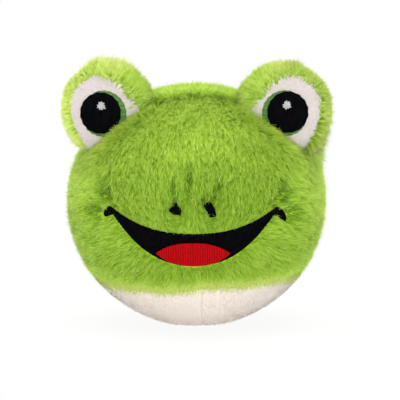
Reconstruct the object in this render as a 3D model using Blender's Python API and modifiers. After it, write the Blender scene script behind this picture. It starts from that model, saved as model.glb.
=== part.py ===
"""Plush frog ball: a stuffed ball with a frog's face and two sewn-in eye lobes.

The frog faces -Y and rests on the flat that its weight presses into the white
belly. Left is -X and right is +X, as seen from the front. Each solid goes out
to the tips of its pile. Lengths are in metres.
"""
import math

import bmesh
import bpy
from mathutils import Matrix, Vector

# Ball: half sizes from its middle to the tips of the pile
BALL_HALF_WIDTH = 0.0511
BALL_FRONT = 0.0500
BALL_BACK = 0.0490
BALL_CROWN = 0.0456
BALL_BELLY = 0.0514
BASE_FLAT_DEPTH = 0.0005
BALL_MIDDLE_Y = 0.0021

# How far the stuffed face stands out of the ball's plain round form
MUZZLE_RISE = 0.0035
CHEEK_RISE = 0.0018
CHIN_RISE = 0.0012
BROW_RISE = 0.0008

# Directions of those rises and their half spreads, in degrees
MUZZLE_PLACE = {"across": 0, "up": -8, "across_spread": 38, "up_spread": 20}
CHEEK_PLACE = {"across": 50, "up": -14, "across_spread": 18, "up_spread": 18}
CHIN_PLACE = {"across": 0, "up": -38, "across_spread": 50, "up_spread": 12}
BROW_PLACE = {"across": 0, "up": 32, "across_spread": 26, "up_spread": 14}

# Plush: backing and pile together, and the gap between two sewn or nested pieces
LONG_PILE = 0.0060
SHORT_PILE = 0.0030
PIECE_GAP = 0.0003

# Seams of the ball's skin
BELLY_SEAM_DROP = 0.0320
BELLY_SEAM_BLEND = 0.0040
BELLY_CENTRE_SEAM_X = 0.0030
SIDE_SEAM_LEAN = math.radians(11)

# Eye lobes: a soft pocket that bends about the line where it is sewn in
EYE_HINGE_SPREAD = math.radians(44.8)
EYE_HINGE_FORWARD = math.radians(19.4)
EYE_HINGE_DEPTH = 0.0032
EYE_BASE_SLOPE = math.radians(36)
EYE_LEAN_BACK = math.radians(6)
EYE_BEND = math.radians(12)
EYE_HALF_WIDTH = 0.0185
EYE_TOP = 0.0252
EYE_FOOT = 0.0060
EYE_MIDDLE_RISE = 0.0065
EYE_HALF_THICKNESS = 0.0105
EYE_PILE = 0.0042
EYE_CLEARANCE = 0.0007
EYE_FULLNESS = 2.5

# White front of a lobe, measured on the lobe from the middle of its sewn line
PATCH_SHIFT = 0.0014
PATCH_HALF_WIDTH = 0.0125
PATCH_TOP = 0.0204

# Stitched eye, let into the short pile of the white front
STITCH_THICKNESS = 0.0010
STITCH_GAP = 0.0002
PUPIL_RADIUS = 0.0078
PUPIL_SHIFT = 0.0019
PUPIL_UP = 0.0063
IRIS_RADIUS = 0.0088
IRIS_DROP = 0.0011
IRIS_HALF_TURN = math.radians(112)
HIGHLIGHT_RADIUS = 0.0018
HIGHLIGHT_INWARD = 0.0019
HIGHLIGHT_UP = 0.0019

# Stitched mouth, sunk in the long pile, with a slanting stroke at each corner
MOUTH_HALF_WIDTH = 0.0311
MOUTH_CORNER_DROP = 0.0004
UPPER_LIP_SAG = 0.0091
LOWER_LIP_SAG = 0.0201
UPPER_LIP_POWER = 2.5
LOWER_LIP_POWER = 2.3
MOUTH_SINK = 0.0024
MOUTH_CORNER_HEIGHT = 0.0016
STROKE_RUN = 0.0026
STROKE_DROP = 0.0042
STROKE_WIDTH = 0.0015
STROKE_WEB = 0.0008

# Tongue, stitched over the lower part of the mouth
TONGUE_HALF_WIDTH = 0.0138
TONGUE_ARCH = 0.0047
TONGUE_TIP_RISE = 0.0012
TONGUE_MARGIN = 0.0004
TONGUE_THICKNESS = 0.0009

# Nostrils, stitched down into the long pile
NOSTRIL_SPACING = 0.0126
NOSTRIL_DROP = 0.0006
NOSTRIL_HALF_WIDTH = 0.0022
NOSTRIL_HALF_HEIGHT = 0.0028
NOSTRIL_SINK = 0.0016
NOSTRIL_TILT = math.radians(18)

# Squeaker in the middle of the filling: a blown bulb with a reed in its neck
BULB_RADIUS = 0.0170
BULB_HALF_THICKNESS = 0.0085
BULB_WALL = 0.0009
NECK_RADIUS = 0.0045
NECK_HEIGHT = 0.0030
REED_FLANGE = 0.0012
REED_FLANGE_HEIGHT = 0.0008
REED_DEPTH = 0.0040
REED_BORE = 0.0012
REED_CLEARANCE = 0.0001

# Cutters reach this far past what they cut, and points this near are one
OVERRUN = 0.0200
MERGE_DISTANCE = 0.00001

# Facets
BALL_COLUMN_COUNT = 44
BALL_ROW_COUNT = 24
FILLING_COLUMN_COUNT = 28
FILLING_ROW_COUNT = 14
EYE_COLUMN_COUNT = 24
EYE_ROW_COUNT = 12
POCKET_COLUMN_COUNT = 16
POCKET_ROW_COUNT = 8
MOUTH_COLUMN_COUNT = 26
MOUTH_ROW_COUNT = 3
TONGUE_COLUMN_COUNT = 16
DISC_COLUMN_COUNT = 24
DISC_ROW_COUNT = 2
TURNED_STEPS = 20
SOLVE_STEPS = 40

SIDES = {"left": -1, "right": 1}


def clear_scene():
    for obj in list(bpy.data.objects):
        bpy.data.objects.remove(obj, do_unlink=True)


def new_collection(name):
    collection = bpy.data.collections.new(name)
    bpy.context.scene.collection.children.link(collection)
    return collection


clear_scene()
PARTS = new_collection("plush_frog")
CUTTERS = new_collection("cutters")


def make_material(name, colour, roughness):
    material = bpy.data.materials.new(name)
    material.use_nodes = True
    shader = material.node_tree.nodes["Principled BSDF"]
    shader.inputs["Base Color"].default_value = (*colour, 1)
    shader.inputs["Roughness"].default_value = roughness
    shader.inputs["Metallic"].default_value = 0
    return material


def green_plush():
    return make_material("green_plush", (0.31, 0.47, 0.05), 0.95)


def white_plush():
    return make_material("white_plush", (0.82, 0.73, 0.66), 0.95)


def fibre_filling():
    return make_material("fibre_filling", (0.86, 0.86, 0.84), 1)


def black_thread():
    return make_material("black_thread", (0.006, 0.006, 0.008), 0.6)


def red_thread():
    return make_material("red_thread", (0.55, 0.01, 0.015), 0.55)


def green_thread():
    return make_material("green_thread", (0.07, 0.30, 0.04), 0.55)


def white_thread():
    return make_material("white_thread", (0.88, 0.88, 0.86), 0.5)


def squeaker_plastic():
    return make_material("squeaker_plastic", (0.85, 0.85, 0.82), 0.4)


def add_object(name, mesh, collection, parent, material=None):
    obj = bpy.data.objects.new(name, mesh)
    collection.objects.link(obj)
    obj.parent = parent
    if material:
        mesh.materials.append(material)
        mesh.shade_smooth()
    else:
        obj.hide_render = True
        obj.display_type = "WIRE"
    return obj


def add_part(name, mesh, parent, material):
    return add_object(name, mesh, PARTS, parent, material)


def add_cutter(name, mesh, parent):
    return add_object(name, mesh, CUTTERS, parent)


def boolean(obj, other, operation):
    modifier = obj.modifiers.new(other.name, "BOOLEAN")
    modifier.operation = operation
    modifier.object = other
    modifier.solver = "EXACT"


def mesh_from(bm, name):
    mesh = bpy.data.meshes.new(name)
    bm.to_mesh(mesh)
    bm.free()
    return mesh


def place_on_sphere(name, columns, rows, place):
    """A unit sphere whose points place moves. Its poles lie along Z, its columns beside X and Y."""
    bm = bmesh.new()
    bmesh.ops.create_uvsphere(bm, u_segments=columns, v_segments=rows, radius=1)
    half_step = Matrix.Rotation(math.pi / columns, 3, "Z")
    for vert in bm.verts:
        vert.co = place(half_step @ vert.co.normalized())
    bmesh.ops.triangulate(bm, faces=bm.faces)
    return mesh_from(bm, name)


def solid_from_sheet(name, columns, rows, place, push):
    """A sheet that place puts at shares across and up, and the solid that it sweeps along Y."""
    bm = bmesh.new()
    bmesh.ops.create_grid(bm, x_segments=columns, y_segments=rows, size=1)
    for vert in bm.verts:
        vert.co = place((vert.co.x + 1) / 2, (vert.co.y + 1) / 2)
    bmesh.ops.remove_doubles(bm, verts=bm.verts, dist=MERGE_DISTANCE)
    swept = bmesh.ops.extrude_face_region(bm, geom=bm.faces[:], use_keep_orig=True)
    moved = [item for item in swept["geom"] if isinstance(item, bmesh.types.BMVert)]
    bmesh.ops.translate(bm, vec=(0, push, 0), verts=moved)
    bmesh.ops.triangulate(bm, faces=bm.faces)
    bmesh.ops.recalc_face_normals(bm, faces=bm.faces)
    return mesh_from(bm, name)


def box_cutter(name, low, high, parent, turn=0):
    """A box between two corners, turned about its X axis through the parent's middle."""
    bm = bmesh.new()
    bmesh.ops.create_cube(bm, size=1)
    middle = (low + high) / 2
    size = high - low
    for vert in bm.verts:
        vert.co = middle + Vector(a * b for a, b in zip(vert.co, size))
    bmesh.ops.transform(bm, matrix=Matrix.Rotation(turn, 4, "X"), verts=bm.verts)
    return add_cutter(name, mesh_from(bm, name), parent)


def smooth_step(share):
    share = min(max(share, 0), 1)
    return share * share * (3 - 2 * share)


def bump(across, up, place, side=1):
    """From 0 to 1, how near a direction in degrees lies to a rise of the face."""
    across_share = (across - side * place["across"]) * math.cos(math.radians(up))
    across_share /= place["across_spread"]
    up_share = (up - place["up"]) / place["up_spread"]
    return math.exp(-across_share**2 - up_share**2)


def ball_reach(direction):
    """From the ball's middle to the tips of its pile, towards a unit vector."""
    depth = BALL_FRONT if direction.y < 0 else BALL_BACK
    height = BALL_CROWN if direction.z > 0 else BALL_BELLY
    x_share = direction.x / BALL_HALF_WIDTH
    y_share = direction.y / depth
    z_share = direction.z / height
    across = math.degrees(math.atan2(direction.x, -direction.y))
    up = math.degrees(math.asin(max(-1, min(1, direction.z))))
    reach = 1 / math.sqrt(x_share**2 + y_share**2 + z_share**2)
    reach += MUZZLE_RISE * bump(across, up, MUZZLE_PLACE)
    reach += CHIN_RISE * bump(across, up, CHIN_PLACE)
    reach += BROW_RISE * bump(across, up, BROW_PLACE)
    for side in SIDES.values():
        reach += CHEEK_RISE * bump(across, up, CHEEK_PLACE, side)
    return reach


def skin_thickness(direction):
    """Long pile over the green, thinning to the short pile of the belly."""
    height = direction.z * BALL_BELLY + BELLY_SEAM_DROP
    share = smooth_step(height / BELLY_SEAM_BLEND + 1)
    return SHORT_PILE + (LONG_PILE - SHORT_PILE) * share


def ball_point(direction):
    return direction * ball_reach(direction)


def filling_point(direction, gap):
    return direction * (ball_reach(direction) - skin_thickness(direction) - gap)


def ball_front(x, z, depth):
    """The ball's front surface at x and z, a depth below the tips of its pile."""
    near = -BALL_FRONT - MUZZLE_RISE - OVERRUN
    far = 0
    for _ in range(SOLVE_STEPS):
        y = (near + far) / 2
        point = Vector((x, y, z))
        if point.length > ball_reach(point.normalized()) - depth:
            near = y
        else:
            far = y
    return Vector((x, near, z))


def seam_point(height):
    """Where the side seam's plane lies, front to back, at a height over the ball's middle."""
    return hinge_middle(1).y - (height - hinge_middle(1).z) * math.tan(SIDE_SEAM_LEAN)


def hinge_direction(side):
    spread = side * EYE_HINGE_SPREAD
    forward = EYE_HINGE_FORWARD
    across = math.sin(spread) * math.cos(forward)
    up = math.cos(spread) * math.cos(forward)
    return Vector((across, -math.sin(forward), up))


def hinge_middle(side):
    direction = hinge_direction(side)
    return direction * (ball_reach(direction) - EYE_HINGE_DEPTH)


def eye_sizes(grow, grow_front, under_skin):
    """Half sizes of a lobe, its pocket or its seat: width, top, foot, front and back."""
    pile = EYE_PILE if under_skin else 0
    front_pile = SHORT_PILE if under_skin else 0
    return {
        "width": EYE_HALF_WIDTH + grow - pile,
        "top": EYE_TOP - EYE_MIDDLE_RISE + grow - pile,
        "foot": EYE_FOOT + EYE_MIDDLE_RISE + grow - pile,
        "front": EYE_HALF_THICKNESS + grow + grow_front - front_pile,
        "back": EYE_HALF_THICKNESS + grow - pile,
    }


def eye_point(direction, sizes):
    """A full, flattened egg: the unit sphere squared a little, then stretched to the sizes."""
    power = EYE_FULLNESS
    total = sum(abs(value) ** power for value in direction) ** (1 / power)
    x, y, z = direction / total
    depth = sizes["front"] if y < 0 else sizes["back"]
    height = sizes["top"] if z > 0 else sizes["foot"]
    return Vector((x * sizes["width"], y * depth, EYE_MIDDLE_RISE + z * height))


def eye_front(x, z, depth):
    """The lobe's front surface at x and z in its own frame, a depth below its pile's tips."""
    sizes = eye_sizes(0, -depth, False)
    rise = z - EYE_MIDDLE_RISE
    height = sizes["top"] if rise > 0 else sizes["foot"]
    left_over = 1 - abs(x / sizes["width"]) ** EYE_FULLNESS - abs(rise / height) ** EYE_FULLNESS
    return Vector((x, -sizes["front"] * max(left_over, 0) ** (1 / EYE_FULLNESS), z))


def circle_reach(angle, radius, middle_x, middle_z):
    """From the origin to a circle round a middle near it, at an angle."""
    along = middle_x * math.cos(angle) + middle_z * math.sin(angle)
    beside = middle_x * math.sin(angle) - middle_z * math.cos(angle)
    return along + math.sqrt(radius**2 - beside**2)


def lip_height(x, sag, power, grow):
    """A lip's height over the ball's middle at x, moved down by grow."""
    share = min(abs(x) / MOUTH_HALF_WIDTH, 1)
    return -MOUTH_CORNER_DROP - sag * (1 - share**power) - grow


def stroke_place(side, up, beyond, grow):
    """A point of a corner's stroke: up runs from its foot to its head, beyond goes across it."""
    along = Vector((STROKE_RUN, 0, -STROKE_DROP)).normalized()
    outward = Vector((STROKE_DROP, 0, STROKE_RUN)).normalized()
    head = Vector((MOUTH_HALF_WIDTH, 0, -MOUTH_CORNER_DROP)) - along * grow
    foot = head + Vector((STROKE_RUN, 0, -STROKE_DROP)) + 2 * along * grow
    swell = STROKE_WIDTH * math.sin(math.pi * up) * beyond
    point = foot.lerp(head, up) + outward * (swell + (grow if beyond else -grow))
    return side * point.x, point.z


def mouth_solid(name, depth, grow, push):
    """The mouth between its lips and the strokes at its corners, a depth below the pile's tips."""
    lens_half_width = MOUTH_HALF_WIDTH - STROKE_WEB
    lens_columns = MOUTH_COLUMN_COUNT - 4

    def place(across, up):
        column = round(across * MOUTH_COLUMN_COUNT)
        from_end = min(column, MOUTH_COLUMN_COUNT - column)
        if from_end < 2:
            side = -1 if column < 2 else 1
            x, z = stroke_place(side, up, 1 - from_end, grow)
            return ball_front(x, z, depth)
        x = -lens_half_width * math.cos(math.pi * (column - 2) / lens_columns)
        low = lip_height(x, LOWER_LIP_SAG, LOWER_LIP_POWER, grow + MOUTH_CORNER_HEIGHT)
        high = lip_height(x, UPPER_LIP_SAG, UPPER_LIP_POWER, -grow)
        return ball_front(x, low + (high - low) * up, depth)

    return solid_from_sheet(name, MOUTH_COLUMN_COUNT, MOUTH_ROW_COUNT, place, push)


def tongue_edge(x):
    return lip_height(x, LOWER_LIP_SAG, LOWER_LIP_POWER, MOUTH_CORNER_HEIGHT - TONGUE_MARGIN)


def tongue_solid(name, depth, push):
    """The tongue, from the lower lip up to its own arch."""

    def place(across, up):
        x = -TONGUE_HALF_WIDTH * math.cos(math.pi * across)
        out_share = (x / TONGUE_HALF_WIDTH) ** 2
        tip = tongue_edge(TONGUE_HALF_WIDTH) + TONGUE_TIP_RISE
        low = tongue_edge(x) + TONGUE_TIP_RISE * out_share**2
        high = tip + TONGUE_ARCH * (1 - out_share) + TONGUE_MARGIN
        return ball_front(x, low + (high - low) * up, depth)

    return solid_from_sheet(name, TONGUE_COLUMN_COUNT, MOUTH_ROW_COUNT, place, push)


def nostril_solid(name, side, depth, grow, push):
    """A leaning oval beside the nose's middle."""

    def place(across, up):
        angle = 2 * math.pi * across
        wide = (NOSTRIL_HALF_WIDTH + grow) * up * math.cos(angle)
        tall = (NOSTRIL_HALF_HEIGHT + grow) * up * math.sin(angle)
        tilt = side * NOSTRIL_TILT
        x = side * NOSTRIL_SPACING / 2 + wide * math.cos(tilt) + tall * math.sin(tilt)
        z = -NOSTRIL_DROP - wide * math.sin(tilt) + tall * math.cos(tilt)
        return ball_front(x, z, depth)

    return solid_from_sheet(name, DISC_COLUMN_COUNT, DISC_ROW_COUNT, place, push)


def pupil_middle(side):
    return side * PUPIL_SHIFT, PUPIL_UP


def highlight_offset(side):
    return -side * HIGHLIGHT_INWARD, HIGHLIGHT_UP


def eye_ring_solid(name, side, inner, outer, push, first=0, turn=2 * math.pi, depth=0):
    """A stitched ring round the pupil's middle, between two reaches at each angle."""
    middle_x, middle_z = pupil_middle(side)

    def place(across, up):
        angle = first + turn * across
        near = inner(angle)
        reach = near + (outer(angle) - near) * up
        return eye_front(middle_x + reach * math.cos(angle), middle_z + reach * math.sin(angle), depth)

    return solid_from_sheet(name, DISC_COLUMN_COUNT, DISC_ROW_COUNT, place, push)


def iris_reach(angle):
    return circle_reach(angle, IRIS_RADIUS, 0, -IRIS_DROP)


def pupil_solid(name, side):
    hole_x, hole_z = highlight_offset(side)
    hole_radius = HIGHLIGHT_RADIUS + STITCH_GAP
    middle_x, middle_z = pupil_middle(side)

    def place(across, up):
        angle = 2 * math.pi * across
        inner = Vector((hole_x, 0, hole_z)) + hole_radius * Vector((math.cos(angle), 0, math.sin(angle)))
        outer = PUPIL_RADIUS * Vector((math.cos(angle), 0, math.sin(angle)))
        point = inner.lerp(outer, up)
        return eye_front(middle_x + point.x, middle_z + point.z, 0)

    return solid_from_sheet(name, DISC_COLUMN_COUNT, DISC_ROW_COUNT, place, STITCH_THICKNESS)


def highlight_solid(name, side):
    offset_x, offset_z = highlight_offset(side)
    middle_x, middle_z = pupil_middle(side)

    def place(across, up):
        angle = 2 * math.pi * across
        reach = HIGHLIGHT_RADIUS * up
        x = middle_x + offset_x + reach * math.cos(angle)
        z = middle_z + offset_z + reach * math.sin(angle)
        return eye_front(x, z, 0)

    return solid_from_sheet(name, DISC_COLUMN_COUNT, 1, place, STITCH_THICKNESS)


def patch_outline_solid(name, side, grow):
    """A block in the outline of a lobe's white front, an arch on straight sides, from its middle."""
    half_width = PATCH_HALF_WIDTH + grow
    top = PATCH_TOP + grow
    foot = -EYE_FOOT - OVERRUN

    def place(across, up):
        x = -math.cos(math.pi * across)
        arch_share = (1 - abs(x) ** EYE_FULLNESS) ** (1 / EYE_FULLNESS)
        z = foot + (top * arch_share - foot) * up
        return Vector((side * PATCH_SHIFT + half_width * x, 0, z))

    return solid_from_sheet(name, DISC_COLUMN_COUNT, 1, place, -EYE_HALF_THICKNESS - OVERRUN)


def squeaker_profile(grow, under_wall):
    """Half of the bulb's outline, from the neck's edge round to the middle of the far side."""
    radius = BULB_RADIUS + grow - under_wall
    half = BULB_HALF_THICKNESS + grow - under_wall
    neck = NECK_RADIUS + grow - under_wall
    start = math.asin(neck / radius)
    steps = TURNED_STEPS // 2
    points = []
    for step in range(steps + 1):
        angle = start + (math.pi - start) * step / steps
        points.append((radius * math.sin(angle), half * math.cos(angle)))
    points[-1] = (0, -half)
    return points


def turned(name, points, parent, material):
    """A solid turned from a profile round the Z axis, laid down so that it faces backwards."""
    bm = bmesh.new()
    verts = [bm.verts.new((radius, 0, height)) for radius, height in points]
    for first, second in zip(verts, verts[1:] + verts[:1]):
        if first.co.x > 0 or second.co.x > 0:
            bm.edges.new((first, second))
    mesh = mesh_from(bm, name)
    collection = PARTS if material else CUTTERS
    obj = add_object(name, mesh, collection, parent, material)
    obj.rotation_euler.x = -math.pi / 2
    screw = obj.modifiers.new("turn", "SCREW")
    screw.steps = TURNED_STEPS
    screw.render_steps = TURNED_STEPS
    screw.use_merge_vertices = True
    screw.merge_threshold = MERGE_DISTANCE
    screw.use_smooth_shade = True
    return obj


def neck_top():
    return BULB_HALF_THICKNESS + NECK_HEIGHT


def squeaker_bulb(parent, material):
    outside = [(NECK_RADIUS, neck_top())] + squeaker_profile(0, 0)
    inside = squeaker_profile(0, BULB_WALL)
    inner_neck = (NECK_RADIUS - BULB_WALL, neck_top())
    return turned("squeaker_bulb", outside + inside[::-1] + [inner_neck], parent, material)


def squeaker_reed(parent, material):
    """A flanged tube that plugs the bulb's neck; the air that squeaks goes through its bore."""
    tube = NECK_RADIUS - BULB_WALL - REED_CLEARANCE
    low_face = neck_top() + REED_CLEARANCE
    top = low_face + REED_FLANGE_HEIGHT
    foot = low_face - REED_DEPTH
    flange = NECK_RADIUS - BULB_WALL + REED_FLANGE
    points = [(REED_BORE, top), (flange, top), (flange, low_face)]
    points += [(tube, low_face), (tube, foot), (REED_BORE, foot)]
    return turned("squeaker_reed", points, parent, material)


def squeaker_space(parent):
    """The hollow in the filling: the bulb, its neck and the reed's flange, with the gap."""
    flange = NECK_RADIUS - BULB_WALL + REED_FLANGE + PIECE_GAP
    top = neck_top() + REED_CLEARANCE + REED_FLANGE_HEIGHT + PIECE_GAP
    points = [(0, top), (flange, top)] + squeaker_profile(PIECE_GAP, 0)
    return turned("squeaker_space", points, parent, None)


def eye_hinge(side_name, side, parent):
    """An empty on the line where a lobe is sewn in: X along that line, Z up through the lobe."""
    hinge = bpy.data.objects.new(side_name + "_eye_hinge", None)
    PARTS.objects.link(hinge)
    hinge.parent = parent
    hinge.location = hinge_middle(side)
    slope = Matrix.Rotation(side * EYE_BASE_SLOPE, 4, "Y")
    lean = Matrix.Rotation(-EYE_LEAN_BACK, 4, "X")
    hinge.rotation_euler = (slope @ lean).to_euler()
    return hinge


def lobe_mesh(name, sizes, columns, rows):
    return place_on_sphere(name, columns, rows, lambda direction: eye_point(direction, sizes))


def in_eye(point, sizes):
    depth = sizes["front"] if point.y < 0 else sizes["back"]
    rise = point.z - EYE_MIDDLE_RISE
    height = sizes["top"] if rise > 0 else sizes["foot"]
    shares = (point.x / sizes["width"], point.y / depth, rise / height)
    return sum(abs(share) ** EYE_FULLNESS for share in shares) < 1


def seat_point(direction, sizes, unbends):
    """Out from the lobe's middle to the edge of all that it sweeps as it bends both ways."""
    middle = Vector((0, 0, EYE_MIDDLE_RISE))
    near = 0
    far = 2 * (EYE_HALF_WIDTH + EYE_TOP)
    for _ in range(SOLVE_STEPS):
        reach = (near + far) / 2
        point = middle + direction * reach
        if any(in_eye(unbend @ point, sizes) for unbend in unbends):
            near = reach
        else:
            far = reach
    return middle + direction * near


def eye_seat(side_name, hinge):
    """The space that a lobe sweeps, which is cut from the ball's skin and filling."""
    sizes = eye_sizes(EYE_CLEARANCE, 0, False)
    bend_shares = (-1, -0.5, 0, 0.5, 1)
    unbends = [Matrix.Rotation(share * EYE_BEND, 3, "X") for share in bend_shares]
    name = side_name + "_eye_seat"
    mesh = place_on_sphere(
        name, EYE_COLUMN_COUNT, EYE_ROW_COUNT, lambda direction: seat_point(direction, sizes, unbends)
    )
    return add_cutter(name, mesh, hinge)


def eye_lobe(side_name, side, hinge, materials):
    """White front, green pocket and filling of one lobe."""
    skin = lobe_mesh("skin", eye_sizes(0, 0, False), EYE_COLUMN_COUNT, EYE_ROW_COUNT)
    pocket_mesh = lobe_mesh("pocket", eye_sizes(0, 0, True), POCKET_COLUMN_COUNT, POCKET_ROW_COUNT)
    pocket = add_cutter(side_name + "_eye_pocket", pocket_mesh, hinge)
    inside = add_cutter(side_name + "_patch_edge", patch_outline_solid("edge", side, -PIECE_GAP / 2), hinge)
    outside = add_cutter(side_name + "_patch_hole", patch_outline_solid("hole", side, PIECE_GAP / 2), hinge)

    patch = add_part(side_name + "_eye_patch", skin.copy(), hinge, materials["white_plush"])
    boolean(patch, pocket, "DIFFERENCE")
    boolean(patch, inside, "INTERSECT")

    back = add_part(side_name + "_eye_back", skin.copy(), hinge, materials["green_plush"])
    boolean(back, pocket, "DIFFERENCE")
    boolean(back, outside, "DIFFERENCE")

    fill_mesh = lobe_mesh("fill", eye_sizes(-PIECE_GAP, 0, True), POCKET_COLUMN_COUNT, POCKET_ROW_COUNT)
    add_part(side_name + "_eye_filling", fill_mesh, hinge, materials["fibre_filling"])
    return patch


def stitched_eye(side_name, side, hinge, patch, materials):
    """Iris, pupil and highlight, let into the white front."""
    down = -math.pi / 2
    names = [side_name + "_iris", side_name + "_pupil", side_name + "_highlight"]
    iris = eye_ring_solid(
        names[0],
        side,
        inner=lambda angle: PUPIL_RADIUS + STITCH_GAP,
        outer=iris_reach,
        push=STITCH_THICKNESS,
        first=down - IRIS_HALF_TURN,
        turn=2 * IRIS_HALF_TURN,
    )
    solids = [iris, pupil_solid(names[1], side), highlight_solid(names[2], side)]
    threads = ["green_thread", "black_thread", "white_thread"]
    for name, solid, thread in zip(names, solids, threads):
        add_part(name, solid, hinge, materials[thread])

    hole_mesh = eye_ring_solid(
        "eye_hole",
        side,
        inner=lambda angle: 0,
        outer=lambda angle: max(PUPIL_RADIUS, iris_reach(angle)) + STITCH_GAP,
        push=-OVERRUN,
        depth=STITCH_THICKNESS + PIECE_GAP,
    )
    boolean(patch, add_cutter(side_name + "_eye_hole", hole_mesh, hinge), "DIFFERENCE")


def seam_cutters(ball):
    """Boxes beyond each seam's plane, each half a gap back from it."""
    far = BALL_HALF_WIDTH + MUZZLE_RISE + OVERRUN
    half_gap = PIECE_GAP / 2
    lean = SIDE_SEAM_LEAN
    side_y = seam_point(0) * math.cos(lean)
    belly_z = -BELLY_SEAM_DROP
    belly_x = BELLY_CENTRE_SEAM_X
    flat_z = -BALL_BELLY + BASE_FLAT_DEPTH
    spans = {
        "behind_face": ((-far, side_y - half_gap, -far), (far, far, far), lean),
        "before_back": ((-far, -far, -far), (far, side_y + half_gap, far), lean),
        "below_green": ((-far, -far, -far), (far, far, belly_z + half_gap), 0),
        "above_belly": ((-far, -far, belly_z - half_gap), (far, far, far), 0),
        "right_of_back": ((-half_gap, -far, -far), (far, far, far), 0),
        "left_of_back": ((-far, -far, -far), (half_gap, far, far), 0),
        "right_of_belly": ((belly_x - half_gap, -far, -far), (far, far, far), 0),
        "left_of_belly": ((-far, -far, -far), (belly_x + half_gap, far, far), 0),
        "behind_filling": ((-far, -half_gap, -far), (far, far, far), 0),
        "before_filling": ((-far, -far, -far), (far, half_gap, far), 0),
        "floor": ((-far, -far, -far), (far, far, flat_z), 0),
    }
    return {
        name: box_cutter(name, Vector(low), Vector(high), ball, turn)
        for name, (low, high, turn) in spans.items()
    }


def skin_panels(ball, cutters, seats, materials):
    """The ball's five panels, cut from one skin along its seams."""
    skin = place_on_sphere("skin", BALL_COLUMN_COUNT, BALL_ROW_COUNT, ball_point)
    hollow_mesh = place_on_sphere(
        "hollow", FILLING_COLUMN_COUNT, FILLING_ROW_COUNT, lambda direction: filling_point(direction, 0)
    )
    hollow = add_cutter("hollow", hollow_mesh, ball)
    eyes = list(seats)
    cuts = {
        "face_panel": [hollow, cutters["behind_face"], cutters["below_green"], *eyes],
        "back_panel_left": [hollow, cutters["before_back"], cutters["below_green"],
                            cutters["right_of_back"], eyes[0]],
        "back_panel_right": [hollow, cutters["before_back"], cutters["below_green"],
                             cutters["left_of_back"], eyes[1]],
        "belly_panel_left": [hollow, cutters["above_belly"], cutters["right_of_belly"],
                             cutters["floor"]],
        "belly_panel_right": [hollow, cutters["above_belly"], cutters["left_of_belly"],
                              cutters["floor"]],
    }
    panels = {}
    for name, keep_out in cuts.items():
        plush = "white_plush" if name.startswith("belly") else "green_plush"
        panels[name] = add_part(name, skin.copy(), ball, materials[plush])
        for cutter in keep_out:
            boolean(panels[name], cutter, "DIFFERENCE")
    return panels


def fillings(ball, cutters, seats, materials):
    """The fibre filling in two handfuls, packed round the squeaker."""
    space = squeaker_space(ball)
    fill = place_on_sphere(
        "fill", FILLING_COLUMN_COUNT, FILLING_ROW_COUNT, lambda direction: filling_point(direction, PIECE_GAP)
    )
    for name, half in (("filling_front", "behind_filling"), ("filling_back", "before_filling")):
        filling = add_part(name, fill.copy(), ball, materials["fibre_filling"])
        for cutter in (cutters[half], space, *seats):
            boolean(filling, cutter, "DIFFERENCE")


def stitched_mouth(ball, face, materials):
    """Mouth and tongue, and the hollow that the stitching pulls into the face."""
    mouth = mouth_solid("mouth", MOUTH_SINK, 0, STITCH_THICKNESS)
    add_part("mouth", mouth, ball, materials["black_thread"])
    tongue_depth = MOUTH_SINK - PIECE_GAP - TONGUE_THICKNESS
    tongue = tongue_solid("tongue", tongue_depth, TONGUE_THICKNESS)
    add_part("tongue", tongue, ball, materials["red_thread"])
    floor_depth = MOUTH_SINK + STITCH_THICKNESS + PIECE_GAP
    hollow = mouth_solid("mouth_hollow", floor_depth, PIECE_GAP, -OVERRUN)
    boolean(face, add_cutter("mouth_hollow", hollow, ball), "DIFFERENCE")


def stitched_nostrils(ball, face, materials):
    """Two ovals stitched down into the face, each in its own pit."""
    for side_name, side in SIDES.items():
        name = side_name + "_nostril"
        nostril = nostril_solid(name, side, NOSTRIL_SINK, 0, STITCH_THICKNESS)
        add_part(name, nostril, ball, materials["black_thread"])
        floor_depth = NOSTRIL_SINK + STITCH_THICKNESS + PIECE_GAP
        pit = nostril_solid(name + "_pit", side, floor_depth, PIECE_GAP, -OVERRUN)
        boolean(face, add_cutter(name + "_pit", pit, ball), "DIFFERENCE")


def build():
    makers = (
        green_plush,
        white_plush,
        fibre_filling,
        black_thread,
        red_thread,
        green_thread,
        white_thread,
        squeaker_plastic,
    )
    materials = {maker.__name__: maker() for maker in makers}
    ball = bpy.data.objects.new("ball_middle", None)
    PARTS.objects.link(ball)
    ball.location = (0, BALL_MIDDLE_Y, BALL_BELLY - BASE_FLAT_DEPTH)

    seats = []
    for side_name, side in SIDES.items():
        hinge = eye_hinge(side_name, side, ball)
        seats.append(eye_seat(side_name, hinge))
        patch = eye_lobe(side_name, side, hinge, materials)
        stitched_eye(side_name, side, hinge, patch, materials)

    cutters = seam_cutters(ball)
    panels = skin_panels(ball, cutters, seats, materials)
    stitched_mouth(ball, panels["face_panel"], materials)
    stitched_nostrils(ball, panels["face_panel"], materials)
    fillings(ball, cutters, seats, materials)
    squeaker_bulb(ball, materials["squeaker_plastic"])
    squeaker_reed(ball, materials["squeaker_plastic"])


build()
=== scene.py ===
"""Plush frog ball: skins, fur, short pile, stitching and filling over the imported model.

Lengths are in metres. The frog faces -Y; left is -X and right is +X, as seen from the front.
"""
import math

import bpy
import numpy as np
from mathutils import Matrix, Vector

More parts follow.
